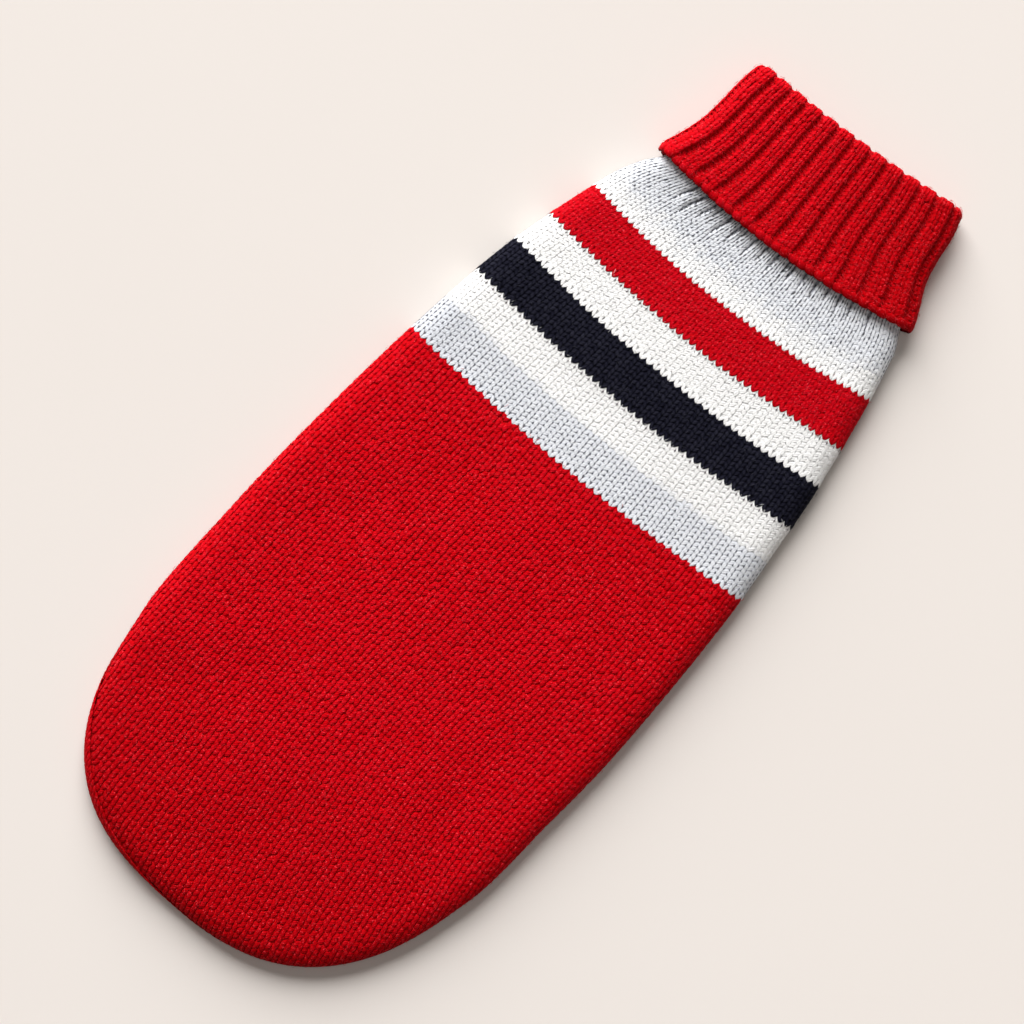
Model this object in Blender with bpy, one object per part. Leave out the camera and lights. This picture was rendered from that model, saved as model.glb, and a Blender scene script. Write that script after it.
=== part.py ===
"""A knitted dog sweater with a turned-down rib collar, lying flat with its back upwards.

The part lies on Z = 0 with the neck towards +Y. Sizes in the tables are millimetres.
Five pieces of cloth are built, each a closed wall:
  back_panel   covers the top, wraps round both side folds and ends in a rounded tail
  chest_panel  the underside by the neck, flat on the ground, with two leg openings
  belly_panel  the plain underside behind it, which ends well before the tail
  collar       a rib tube sewn to the neck edge and turned down over itself
  hem_edging   the narrow bound edge under the rim of the tail
"""

import bpy
import bmesh
import math
import numpy as np

MM = 0.001
GAP = 0.3                 # clearance between sewn pieces

# ---------------------------------------------------------------- driving sizes, millimetres
WALL = 2.4                # knitted body cloth
CROWN = 16.5              # height of the body along its middle
FOLD_HEIGHT = 6.5         # height of the widest line of a side fold
FOLD_WIDTH = 7.0          # how far the fold takes to turn under to the flat underside
SHOULDER_WIDTH = 16.0     # how far the top takes to round over towards the side
UNDER_WIDTH = 23.0        # the back panel's return on the underside, out to the side seam

BODY_END = 192.0          # the neck edge, on the middle line

# Body edge seen from above. A row crosses the body at "along" on the middle line.
OUTLINE = (
    # along, left, right
    (BODY_END, -70.6, 70.8),
    (183.0, -72.9, 73.8),
    (174.0, -78.6, 78.6),
    (162.0, -84.2, 82.6),
    (145.0, -89.2, 87.2),
    (120.0, -95.6, 93.4),
    (95.0, -100.8, 98.4),
    (65.0, -104.8, 102.8),
    (35.0, -107.7, 106.9),
    (-21.0, -111.4, 111.4),
    (-70.0, -113.1, 113.1),
    (-111.0, -113.1, 111.5),
)
TAIL_CENTRE = (-0.8, -111.0)
TAIL_HALF_WIDTH = 112.3
TAIL_LENGTH = 150.5
TAIL_POWER_LEFT = 2.75    # a superellipse: 2 would be a plain ellipse
TAIL_POWER_RIGHT = 2.6
TAIL_LEAN = -2.2          # the tip lies this far off the middle

# Rows of knitting lean and bow more and more towards the neck.
ROW_SHAPE = (
    # along, lean (mm per mm), bow (mm per square mm)
    (-111.0, 0.000, 0.00000),
    (35.0, 0.049, 0.00048),
    (101.0, 0.057, 0.00070),
    (123.0, 0.062, 0.00078),
    (147.0, 0.083, 0.00110),
    (183.5, 0.108, 0.00127),
    (251.9, 0.1155, 0.00070),
)

# The neck narrows and rises to enter the collar.
NECK_RISE = (
    # along, underside, shoulder height, crown, shoulder width
    (120.0, 0.0, 14.9, CROWN, SHOULDER_WIDTH),
    (150.0, 0.5, 14.7, 16.0, 15.0),
    (170.0, 2.2, 13.9, 14.7, 12.5),
    (180.0, 3.2, 13.3, 13.7, 11.0),
    (BODY_END, 3.2, 13.3, 13.7, 11.0),
)

# The hem takes over from the belly panel's seam along this stretch of both sides.
BELLY_END = -150.0
HEM_START = -172.0
RIM_INSET = 3.0           # the tail panel's rim, in from the outline
RIM_HEIGHT = 3.9
WIDEST_INSET = 0.9        # the tail panel's widest line, in from the outline
HEM_WIDTH = 5.4
HEM_HEIGHT = 3.3
HEM_BEAD = (
    # inward of the outline, height: one section of the bound edge
    (HEM_WIDTH, 0.0),
    (1.1, 0.0),
    (0.25, 0.7),
    (0.0, 1.7),
    (0.35, 2.7),
    (1.2, HEM_HEIGHT),
    (HEM_WIDTH - 1.0, HEM_HEIGHT),
    (HEM_WIDTH, HEM_HEIGHT - 1.0),
)

CHEST_END = 58.0          # the seam between the chest panel and the belly panel
LEG_CENTRE = (47.0, 96.0)
LEG_HALF_SIZE = (19.0, 27.0)

COLLAR_WALL = 2.5
COLLAR_SLIT = 0.6         # between the turned-down layer and the one beneath
COLLAR_CROWN = 16.9       # top of the turned-down layer, in the valleys between ribs
COLLAR_START = 183.5      # lower edge, on the middle line
COLLAR_LENGTH = 69.8
COLLAR_SEAM = BODY_END + GAP
COLLAR_EDGE = (
    # up from the lower edge, left, right
    (0.0, -78.0, 79.4),
    (7.0, -76.6, 76.6),
    (14.0, -74.2, 73.4),
    (28.0, -70.9, 67.2),
    (42.0, -69.8, 63.9),
    (57.0, -69.5, 61.4),
    (69.8, -68.0, 57.4),
)
RIBS = 11                 # raised pairs of knit columns between the first valley and the last
FIRST_VALLEY = 11.3       # in from the collar's left edge
LAST_VALLEY = 5.1         # in from the collar's right edge
RIB_RISE = 1.5
RIB_STEP = 0.125          # points along the ring, in ribs


# ---------------------------------------------------------------- helpers
def clear_scene():
    """Start from nothing."""
    for item in list(bpy.data.objects):
        bpy.data.objects.remove(item, do_unlink=True)


def table_value(table, along, column):
    """Smooth reading of one column of a table at a place along the first column."""
    rows = np.array(sorted(table), dtype=float)
    knots, values = rows[:, 0], rows[:, column]
    slopes = np.gradient(values, knots)
    place = np.clip(np.asarray(along, dtype=float), knots[0], knots[-1])
    index = np.clip(np.searchsorted(knots, place, side="right") - 1, 0, len(knots) - 2)
    span = knots[index + 1] - knots[index]
    t = (place - knots[index]) / span
    start = (2 * t**3 - 3 * t**2 + 1) * values[index] + (t**3 - 2 * t**2 + t) * span * slopes[index]
    end = (3 * t**2 - 2 * t**3) * values[index + 1] + (t**3 - t**2) * span * slopes[index + 1]
    return start + end


def row_point(along, across):
    """Place on the ground plan of a stitch on row "along", "across" from the middle."""
    lean = table_value(ROW_SHAPE, along, 1)
    bow = table_value(ROW_SHAPE, along, 2)
    return np.stack([np.broadcast_to(across, np.shape(lean * across)).astype(float),
                     along + lean * across + bow * across**2], axis=-1)


def smooth_step(value):
    """0 below 0, 1 above 1, and a soft ramp between."""
    t = np.clip(value, 0.0, 1.0)
    return t * t * (3 - 2 * t)


def make_material(name, colour, roughness):
    """Plain dyed yarn."""
    material = bpy.data.materials.new(name)
    material.use_nodes = True
    shader = material.node_tree.nodes["Principled BSDF"]
    shader.inputs["Base Color"].default_value = (*colour, 1.0)
    shader.inputs["Roughness"].default_value = roughness
    shader.inputs["Metallic"].default_value = 0.0
    return material


def make_object(name, points, faces, material):
    """One closed mesh, in metres, with merged doubles and outward faces."""
    mesh = bpy.data.meshes.new(name)
    mesh.from_pydata([tuple(p * MM) for p in points], [], faces)
    shape = bmesh.new()
    shape.from_mesh(mesh)
    bmesh.ops.remove_doubles(shape, verts=shape.verts, dist=0.00001)
    bmesh.ops.recalc_face_normals(shape, faces=shape.faces)
    shape.to_mesh(mesh)
    shape.free()
    mesh.materials.append(material)
    mesh.shade_smooth()
    mesh.set_sharp_from_angle(angle=math.radians(50))
    item = bpy.data.objects.new(name, mesh)
    bpy.context.collection.objects.link(item)
    return item


def grid_faces(rows, columns, start=0, wrap_rows=False, wrap_columns=False):
    """Quads of a rows by columns grid of points numbered row by row."""
    faces = []
    for i in range(rows if wrap_rows else rows - 1):
        for j in range(columns if wrap_columns else columns - 1):
            a = start + i * columns + j
            b = start + i * columns + (j + 1) % columns
            c = start + ((i + 1) % rows) * columns + (j + 1) % columns
            d = start + ((i + 1) % rows) * columns + j
            faces.append((a, b, c, d))
    return faces


def quarter_round(width, height, steps, power):
    """Points of a superelliptic quarter from (0, 0) rising to (width, height)."""
    angles = np.linspace(0.0, math.pi / 2, steps + 1)
    return [(width * (1 - math.cos(a) ** (2 / power)), height * math.sin(a) ** (2 / power))
            for a in angles]


# ---------------------------------------------------------------- the body's edge, seen from above
SIDE_ROWS = 17
TAIL_STEPS = 34
BELOW_COLLAR = 10.0       # first row of points past the collar's lower edge
MIDDLE_SHIFT = (35.0, 146.0)   # the middle line moves to the tail's centre from here, over this length


def side_column(along, side):
    """Column on a straight side: "plan" gives the place "inward" of the edge along its row."""
    across = float(table_value(OUTLINE, along, 1 if side < 0 else 2))
    middle = TAIL_CENTRE[0] * float(smooth_step((MIDDLE_SHIFT[0] - along) / MIDDLE_SHIFT[1]))
    return {"along": along, "tuck": 1.0, "reach": abs(across - middle),
            "plan": lambda inward: row_point(along, across - side * inward)}


def tail_column(angle):
    """Column round the tail, "angle" from the left side, running in to the tail's centre."""
    cosine, sine = math.cos(angle), math.sin(angle)
    power = TAIL_POWER_LEFT if cosine > 0 else TAIL_POWER_RIGHT
    unit = np.array([-math.copysign(abs(cosine) ** (2 / power), cosine), -(sine ** (2 / power))])
    size = np.array([TAIL_HALF_WIDTH, TAIL_LENGTH])
    centre = np.array(TAIL_CENTRE)
    edge = centre + unit * size + np.array([TAIL_LEAN * unit[1] ** 2, 0.0])
    normal = np.sign(-unit) * np.abs(unit) ** (power - 1) / size
    normal = normal / np.linalg.norm(normal)
    reach = np.linalg.norm(centre - edge)
    ray = (centre - edge) / reach

    def plan(inward):
        """Square to the edge at first, then turning towards the centre."""
        turn = smooth_step(inward / reach)[..., None]
        square = edge + np.asarray(inward)[..., None] * normal
        straight = edge + np.asarray(inward)[..., None] * ray
        return square * (1 - turn) + straight * turn

    tuck = float(smooth_step((edge[1] - HEM_START) / (BELLY_END - HEM_START)))
    return {"along": float(edge[1]), "tuck": tuck, "reach": float(reach), "plan": plan}


def edge_columns():
    """Columns of the back panel from the neck down the left, round the tail and up the right."""
    rows = np.linspace(COLLAR_START - BELOW_COLLAR, TAIL_CENTRE[1], SIDE_ROWS)
    stations = [BODY_END, COLLAR_START, *rows]
    left = [side_column(along, -1) for along in stations]
    tail = [tail_column(math.pi * step / TAIL_STEPS) for step in range(1, TAIL_STEPS)]
    right = [side_column(along, 1) for along in stations[::-1]]
    return left + tail + right


def neck_value(along, column):
    """Reading of the neck table, level below its first row."""
    return float(table_value(NECK_RISE, max(along, NECK_RISE[0][0]), column))


RETURN_STEPS = (0.0, 7.0, 12.0)   # points of the flat return, in from the side seam
BEND_POINTS = 5
SHOULDER_STEPS = 6
SHOULDER_POWER = 2.2


def wall_profile(along, tuck):
    """Outer profile of the panel at one column, as (inward, height), from rim to shoulder."""
    under, top, _, width = [neck_value(along, column) for column in (1, 2, 3, 4)]
    fold = FOLD_HEIGHT * (top - under) / NECK_RISE[0][2]
    flat = [(UNDER_WIDTH - step, 0.0) for step in RETURN_STEPS]
    bend = [(FOLD_WIDTH * (1 - math.sin(a)), fold * (1 - math.cos(a)))
            for a in np.linspace(0.0, math.pi / 2, BEND_POINTS)]
    turned = [(inward, under + height) for inward, height in flat + bend]
    fold += under
    # Round the tail the panel stops at a rim just above the hem edging.
    rim = [(RIM_INSET - (RIM_INSET - WIDEST_INSET) * math.sin(share * math.pi / 2),
            RIM_HEIGHT + (fold - RIM_HEIGHT) * share) for share in np.linspace(0.0, 1.0, len(turned))]
    start = [(tuck * a[0] + (1 - tuck) * b[0], tuck * a[1] + (1 - tuck) * b[1])
             for a, b in zip(turned, rim)]
    edge = start[-1][0]
    rounding = quarter_round(width - edge, top - fold, SHOULDER_STEPS, SHOULDER_POWER)
    shoulder = [(edge + inward, fold + height) for inward, height in rounding]
    return np.array(start + shoulder[1:])


def offset_profile(profile, distance):
    """The same profile moved to the inside of the cloth."""
    ahead = np.gradient(profile[:, 0])
    up = np.gradient(profile[:, 1])
    normal = np.column_stack([up, -ahead]) / np.hypot(ahead, up)[:, None]
    return profile + normal * distance


CROWN_STEPS = (0.22, 0.5, 0.76, 1.0)   # shares of the way from the shoulder to the middle


def back_surface(columns, depth):
    """Points of the back panel's surface "depth" inside its outer face: columns by rows."""
    points = []
    for column in columns:
        profile = wall_profile(column["along"], column["tuck"])
        crown, top = neck_value(column["along"], 3), profile[-1][1]
        start = offset_profile(profile, depth)
        start[-1] = (profile[-1][0], profile[-1][1] - depth)
        step = np.array(CROWN_STEPS)
        inward = profile[-1][0] + (column["reach"] - profile[-1][0]) * step
        height = crown - (crown - top) * (1 - step) ** 2 - depth
        inward = np.concatenate([start[:, 0], inward])
        height = np.concatenate([start[:, 1], height])
        points.append(np.column_stack([column["plan"](inward), height]))
    return np.array(points)


def build_back_panel():
    """Cloth over the top, round both folds and round the tail, as one wall."""
    columns = edge_columns()
    outer = back_surface(columns, 0.0)
    inner = back_surface(columns, WALL)
    count, rows = outer.shape[:2]
    points = np.concatenate([outer.reshape(-1, 3), inner.reshape(-1, 3)])
    faces = grid_faces(count, rows) + [f[::-1] for f in grid_faces(count, rows, count * rows)]
    shift = count * rows
    for i in range(count - 1):
        a, b = i * rows, (i + 1) * rows
        faces.append((a, b, shift + b, shift + a))
    for end in (0, (count - 1) * rows):
        for j in range(rows - 1):
            faces.append((end + j, end + j + 1, shift + end + j + 1, shift + end + j))
    yarn = make_material("back_red_knit", (0.43, 0.004, 0.009), 0.85)
    return make_object("back_panel", points, faces, yarn)


# ---------------------------------------------------------------- underside
UNDER_COLUMNS = 7
CUTTER_SIDES = 32
CUTTER_DEPTH = 20.0


def under_line(left, right):
    """Points straight across the underside between two edge columns."""
    ends = [column["plan"](np.float64(UNDER_WIDTH + GAP)) for column in (left, right)]
    across = np.linspace(ends[0][0], ends[1][0], UNDER_COLUMNS)
    row = left["along"] if left["along"] >= TAIL_CENTRE[1] else ends[0][1]
    return np.column_stack([row_point(row, across), np.full(UNDER_COLUMNS, neck_value(row, 1))])


def under_panel(name, pairs, colour):
    """A flat wall over lines of points from pairs of edge columns."""
    lower = np.array([under_line(left, right) for left, right in pairs])
    upper = lower + np.array([0.0, 0.0, WALL])
    points = np.concatenate([lower.reshape(-1, 3), upper.reshape(-1, 3)])
    rows = len(pairs)
    shift = rows * UNDER_COLUMNS
    faces = grid_faces(rows, UNDER_COLUMNS)
    faces += [f[::-1] for f in grid_faces(rows, UNDER_COLUMNS, shift)]
    rim = [i * UNDER_COLUMNS for i in range(rows)]
    rim += [(rows - 1) * UNDER_COLUMNS + j for j in range(1, UNDER_COLUMNS)]
    rim += [i * UNDER_COLUMNS + UNDER_COLUMNS - 1 for i in range(rows - 2, -1, -1)]
    rim += list(range(UNDER_COLUMNS - 2, 0, -1))
    for a, b in zip(rim, rim[1:] + rim[:1]):
        faces.append((a, b, shift + b, shift + a))
    return make_object(name, points, faces, make_material(name + "_red_knit", colour, 0.85))


def under_pairs(low, high):
    """Facing edge columns between two places along the body, the neck side first."""
    columns = edge_columns()
    half = len(columns) // 2
    pairs = list(zip(columns[:half], columns[::-1][:half]))
    return [pair for pair in pairs if low <= pair[0]["along"] <= high]


def seam_pair(along):
    """Both edge columns of a seam straight across the underside."""
    return side_column(along, -1), side_column(along, 1)


def build_chest_panel():
    """The underside from the neck to the chest seam, with two leg openings."""
    seam = CHEST_END + GAP / 2
    chest = under_panel("chest_panel", under_pairs(seam, BODY_END) + [seam_pair(seam)], (0.41, 0.004, 0.009))
    for side, name in ((-1, "leg_cutter_left"), (1, "leg_cutter_right")):
        bpy.ops.mesh.primitive_cylinder_add(vertices=CUTTER_SIDES, radius=1.0, depth=CUTTER_DEPTH * MM)
        cutter = bpy.context.active_object
        cutter.name = name
        for vertex in cutter.data.vertices:
            vertex.co.x *= LEG_HALF_SIZE[0] * MM
            vertex.co.y *= LEG_HALF_SIZE[1] * MM
        lean = float(table_value(ROW_SHAPE, LEG_CENTRE[1], 1)) * side * LEG_CENTRE[0]
        cutter.location = (side * LEG_CENTRE[0] * MM, (LEG_CENTRE[1] + lean) * MM, WALL / 2 * MM)
        cutter.hide_render = True
        cutter.display_type = "WIRE"
        cut = chest.modifiers.new(name, "BOOLEAN")
        cut.operation = "DIFFERENCE"
        cut.solver = "EXACT"
        cut.object = cutter
    return chest


def build_belly_panel():
    """The plain underside from the chest seam to its free end before the tail."""
    seam = CHEST_END - GAP / 2
    return under_panel("belly_panel", [seam_pair(seam)] + under_pairs(BELLY_END, seam), (0.41, 0.004, 0.009))


# ---------------------------------------------------------------- hem edging
def build_hem_edging():
    """The bound edge: a flat-bottomed bead that carries the rim of the tail."""
    section = np.array(HEM_BEAD)
    rings = []
    for column in edge_columns():
        if column["along"] < HEM_START:
            rings.append(np.column_stack([column["plan"](section[:, 0]), section[:, 1]]))
    rings = np.array(rings)
    count, sides = rings.shape[:2]
    faces = grid_faces(count, sides, wrap_columns=True)
    faces += [tuple(range(sides)), tuple((count - 1) * sides + k for k in reversed(range(sides)))]
    yarn = make_material("hem_red_chain", (0.45, 0.004, 0.009), 0.8)
    return make_object("hem_edging", rings.reshape(-1, 3), faces, yarn)


# ---------------------------------------------------------------- collar
FOLD_STEPS = 7
SIDE_ROUND = (
    # angle round the collar's side (degrees), share of the rib's height on the left, on the right
    (64.0, 0.9, 0.0),
    (36.0, 0.9, 0.9),
    (4.0, 0.9, 0.9),
    (-28.0, 0.2, 0.2),
    (-60.0, 0.0, 0.0),
)
LIP = (
    # up from the lower edge, share of the wall's thickness, share of the rib's height
    (0.9, 0.0, 0.85),
    (0.9, 1.0, 0.0),
    (0.0, 0.72, 0.0),
    (0.0, 0.28, 0.5),
)
FIRST_FULL_RING = 2.2     # up from the lower edge, where the ribs reach their full height
UNDER_POINTS = 19         # points across the straight underside of a ring
RUN_RINGS = 4             # rings along each straight run inside

def collar_ring(up, depth, rise):
    """One ring of the collar "up" from its lower edge and "depth" inside its outer face.

    "rise" is the height of the ribs there. The ring is a flat tube: a straight top with the
    ribs, a straight underside and two round sides. Ribs fade out down the round sides, and the
    first and the last valley keep their distance from the collar's edges.
    """
    left_edge, right_edge = [float(table_value(COLLAR_EDGE, up, column)) for column in (1, 2)]
    left = left_edge + depth + RIB_RISE * 0.5
    right = right_edge - depth - RIB_RISE * 0.5
    first, last = left_edge + FIRST_VALLEY, right_edge - LAST_VALLEY
    low, high = depth, COLLAR_CROWN - depth
    radius = (high - low) / 2
    middle_height = (high + low) / 2
    places = np.concatenate([[-0.19], np.arange(0.0, RIBS - 2.5 * RIB_STEP, RIB_STEP)])
    top = first + (last - first) * places / RIBS
    wave = np.clip(1.73 - 1.94 * np.cos(places * 2 * math.pi), 0.0, 1.0)
    ring = [(x, high + rise * w) for x, w in zip(top, wave)]
    side_angles, left_turn, right_turn = np.array(SIDE_ROUND).T
    side_angles = np.radians(side_angles)
    ring += [(right - radius + (radius + rise * t * 0.5) * math.cos(a),
              middle_height + (radius + rise * t * 0.5) * math.sin(a))
             for a, t in zip(side_angles, right_turn)]
    ring += [(x, low) for x in np.linspace(right - radius, left + radius, UNDER_POINTS)]
    ring += [(left + radius - (radius + rise * t * 0.5) * math.cos(a),
              middle_height + (radius + rise * t * 0.5) * math.sin(a))
             for a, t in zip(side_angles[::-1], left_turn[::-1])]
    flat = np.array(ring)
    plan = row_point(np.full(len(flat), COLLAR_START + up), flat[:, 0])
    return np.column_stack([plan, flat[:, 1]])


def build_collar():
    """A rib tube: up from the neck seam, over the fold and down outside itself."""
    outer_depth, inner_depth = COLLAR_WALL, COLLAR_WALL + COLLAR_SLIT
    full_depth = 2 * COLLAR_WALL + COLLAR_SLIT
    fold_radius = full_depth / 2
    slit_radius = COLLAR_SLIT / 2
    bend = COLLAR_LENGTH - fold_radius
    seam = COLLAR_SEAM - COLLAR_START
    lip = [(up, share * COLLAR_WALL, rise) for up, share, rise in LIP]
    path = lip[:1]
    path += [(up, 0.0, 1.0) for up in np.linspace(FIRST_FULL_RING, bend, 2 * RUN_RINGS)]
    for angle in np.linspace(0.0, math.pi, FOLD_STEPS)[1:-1]:
        path.append((bend + fold_radius * math.sin(angle), fold_radius * (1 - math.cos(angle)),
                     max(0.0, math.cos(angle / 1.8))))
    path += [(up, full_depth, 0.0) for up in np.linspace(bend, seam, RUN_RINGS)]
    path += [(up, inner_depth, 0.0) for up in np.linspace(seam, bend, RUN_RINGS)]
    path += [(bend + slit_radius, (inner_depth + outer_depth) / 2, 0.0)]
    path += [(up, outer_depth, 0.0) for up in np.linspace(bend, LIP[1][0], RUN_RINGS)]
    path += lip[2:]
    rings = np.array([collar_ring(up, depth, RIB_RISE * rise) for up, depth, rise in path])
    count, around = rings.shape[:2]
    faces = grid_faces(count, around, wrap_rows=True, wrap_columns=True)
    yarn = make_material("collar_red_rib", (0.45, 0.004, 0.009), 0.85)
    return make_object("collar", rings.reshape(-1, 3), faces, yarn)


clear_scene()
build_back_panel()
build_chest_panel()
build_belly_panel()
build_hem_edging()
build_collar()
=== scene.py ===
"""A hand-knit dog sweater with a turned-down rib collar, laid flat with its back upwards.

Every stitch of the back, the collar and the hem is a pair of yarn legs laid on the cloth's own form.
Sizes are millimetres, and become metres when a mesh is made. The neck is towards +Y, up is +Z.
"""
import math

import bpy
import bmesh
import numpy as np
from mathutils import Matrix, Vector


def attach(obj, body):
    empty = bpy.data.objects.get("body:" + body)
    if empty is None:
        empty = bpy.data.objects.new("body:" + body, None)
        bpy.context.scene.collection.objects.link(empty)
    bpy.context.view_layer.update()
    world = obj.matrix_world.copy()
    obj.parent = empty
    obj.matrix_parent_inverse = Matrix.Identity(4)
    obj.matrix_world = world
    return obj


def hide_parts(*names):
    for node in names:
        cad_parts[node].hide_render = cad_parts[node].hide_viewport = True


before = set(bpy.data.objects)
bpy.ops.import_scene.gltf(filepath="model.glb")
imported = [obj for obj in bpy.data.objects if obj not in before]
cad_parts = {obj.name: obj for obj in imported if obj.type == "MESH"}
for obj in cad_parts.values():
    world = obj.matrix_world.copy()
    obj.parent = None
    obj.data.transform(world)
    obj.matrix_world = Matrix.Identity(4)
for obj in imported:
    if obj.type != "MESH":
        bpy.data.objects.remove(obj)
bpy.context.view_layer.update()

MM = 0.001
rng = np.random.default_rng(20)

# ---- the garment's own sizes
WALL = 2.4  # body cloth
CROWN = 16.5  # height along the middle
FOLD_HEIGHT = 6.5  # height of the widest line of a side fold
FOLD_WIDTH = 7.0
SHOULDER_WIDTH = 16.0
UNDER_WIDTH = 23.0  # the back's return on the underside, out to the side seam
BODY_END = 192.0
GAP = 0.3

OUTLINE = (
    # along, left, right
    (BODY_END, -70.6, 70.8),
    (183.0, -72.9, 73.8),
    (174.0, -78.6, 78.6),
    (162.0, -84.2, 82.6),
    (145.0, -89.2, 87.2),
    (120.0, -95.6, 93.4),
    (95.0, -100.8, 98.4),
    (65.0, -104.8, 102.8),
    (35.0, -107.7, 106.9),
    (-21.0, -111.4, 111.4),
    (-70.0, -113.1, 113.1),
    (-111.0, -113.1, 111.5),
)
TAIL_CENTRE = np.array([-0.8, -111.0])
TAIL_SIZE = np.array([112.3, 150.5])
TAIL_POWER_LEFT = 2.75  # a superellipse: 2 would be a plain ellipse
TAIL_POWER_RIGHT = 2.6
TAIL_LEAN = -2.2
TAIL_ANGLES = np.linspace(0.0, math.pi, 421)
SLIDE = np.arange(0.0, 64.0, 0.5)  # places along the cloth past a shoulder
SHOULDER_POWER = 2.2
FLAT_STEP = 1.0  # between the grid lines of the back's flat cut
FLAT_HALF_WIDTH = 152.0
FLAT_START = -284.0
FLAT_END = 201.0
HOLLOWS_FROM = 8.0  # height from which creases and tucks sink the cloth
HOLLOWS_FADE = 5.0

ROW_SHAPE = (
    # along, lean (mm per mm), bow (mm per square mm)
    (-111.0, 0.000, 0.00000),
    (35.0, 0.049, 0.00048),
    (101.0, 0.057, 0.00070),
    (123.0, 0.062, 0.00078),
    (147.0, 0.083, 0.00110),
    (183.5, 0.108, 0.00127),
    (251.9, 0.1155, 0.00070),
)
NECK_RISE = (
    # along, underside, shoulder height, crown, shoulder width
    (120.0, 0.0, 14.9, CROWN, SHOULDER_WIDTH),
    (150.0, 0.5, 14.7, 16.0, 15.0),
    (170.0, 2.2, 13.9, 14.7, 12.5),
    (180.0, 3.2, 13.3, 13.7, 11.0),
    (BODY_END, 3.2, 13.3, 13.7, 11.0),
)

BELLY_END = -150.0
HEM_START = -172.0
RIM_INSET = 3.0  # the tail's rim, in from the outline
RIM_HEIGHT = 3.9
WIDEST_INSET = 0.9  # the tail's widest line, in from the outline
HEM_WIDTH = 5.4
HEM_HEIGHT = 3.3
HEM_LEG_STEP = 3.6  # from leg to leg along the bound edge
HEM_TUCKED = 21.0  # cloth past the shoulder where the legs lie if the edge doesn't roll up
HEM_TAPER = 13.0  # steps along the edge over which the bead grows to its full size
HEM_SLIP = 3.4  # how far in, in millimetres, its ends lie under the rim
HEM_BEAD = (
    # inward of the outline, height: the bound edge's section, a flat-bottomed bead
    (HEM_WIDTH, 0.0),
    (1.3, 0.0),
    (0.6, 0.35),
    (0.35, 0.9),
    (0.25, 1.7),
    (0.4, 2.5),
    (0.8, 3.0),
    (1.4, HEM_HEIGHT),
    (HEM_WIDTH - 1.0, HEM_HEIGHT),
    (HEM_WIDTH, HEM_HEIGHT - 1.0),
)
CHEST_END = 58.0  # the seam between the chest panel and the belly panel
LEG_CENTRE = (47.0, 96.0)
LEG_HALF_SIZE = (19.0, 27.0)

COLLAR_WALL = 2.5
COLLAR_SLIT = 0.6
COLLAR_CROWN = 16.9
COLLAR_START = 183.5
COLLAR_LENGTH = 69.8
COLLAR_EDGE = (
    # up from the lower edge, left, right
    (0.0, -78.0, 79.4),
    (7.0, -76.6, 76.6),
    (14.0, -74.2, 73.4),
    (28.0, -70.9, 67.2),
    (42.0, -69.8, 63.9),
    (57.0, -69.5, 61.4),
    (69.8, -68.0, 57.4),
)
RIBS = 11  # ribs between the first valley and the last
FIRST_VALLEY = 11.3  # in from the collar's left edge
LAST_VALLEY = 5.1  # in from the collar's right edge
RIB_RISE = 1.5
RIB_PERIOD = 10.95
VALLEY_SINK = 0.8  # how much deeper the purl valleys lie than the ribs' own cloth
LIP_ROUND = 1.4
LIP_LENGTH = 5.5
VALLEY_HALF = 0.045  # half-width of a purl valley and of a rib's groove, as a share of the period
RIB_SLOPE = 0.24  # over which a rib rises from its valley, as a share of the period
GROOVE_DEPTH = 0.16
VALLEYS_BY_LIP = 0.25  # share of their depth that the valleys keep at the lower edge
VALLEYS_LOST = 0.45  # and that they lose over the fold
SIDE_FADE = 0.45  # how much lower the ribs are round the collar's sides
RIB_COLUMN = 0.385  # width of one knit column by the fold, as a share of the rib period
RIB_NARROWING = 0.14
COURSE = 2.62
COLLAR_DEPTH = 2 * COLLAR_WALL + COLLAR_SLIT
FOLD_RADIUS = COLLAR_DEPTH / 2
BEND = COLLAR_LENGTH - FOLD_RADIUS
FOLD_ARC = math.pi * FOLD_RADIUS
PAST_FOLD = BEND + FOLD_ARC

# ---- the knitting
COLUMNS_ACROSS = 44  # stitch columns from edge to edge, seen from above
COLUMNS_CUT = 31  # columns each side of the middle, the returns included
STITCH_DEPTH = 0.45  # how deep the stitches lie in the cloth
FLOOR_CLEARANCE = 0.02  # yarn under the body is pressed flat this far above the floor
YARN_BANDS = (
    # yarn, first row's place along, stitch height, column spread, leg radius, roundness, dips at the
    # leg's ends, foot, head: the last two are where a leg starts and ends, in rows
    ("red_body", -272.0, 3.40, 0.60, 1.30, 0.16, 0.80, -0.44, 1.22),
    ("hip", 34.5, 2.69, 1.12, 1.24, 0.06, 0.22, -0.28, 1.14),
    ("navy", 77.0, 2.69, 1.12, 1.16, 0.15, 0.60, -0.30, 1.14),
    ("white", 101.2, 2.70, 1.12, 1.26, 0.05, 0.17, -0.28, 1.14),
    ("red_stripe", 122.8, 2.74, 0.86, 1.30, 0.14, 0.45, -0.42, 1.22),
    ("neck", 147.5, 2.75, 0.80, 1.12, 0.10, 0.34, -0.36, 1.16),
)
BACK_PIECES = (
    # piece, yarn, rows from, rows to
    ("red_knit_tail", "red_body", -300.0, -150.0),
    ("red_knit_loin", "red_body", -150.0, -55.0),
    ("red_knit_waist", "red_body", -55.0, 34.4),
    ("hip_knit_fade", "hip", 0.0, 200.0),
    ("navy_knit_stripe", "navy", 0.0, 200.0),
    ("white_knit_stripe", "white", 0.0, 200.0),
    ("red_knit_stripe", "red_stripe", 0.0, 200.0),
    ("neck_knit_fade", "neck", 0.0, 200.0),
)
TOOTH_REACH = 0.40  # how much further, in rows, the feet of a band's first row reach down
TOOTH_LIFT = 0.24  # how far those legs lie on top of the band below
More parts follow.
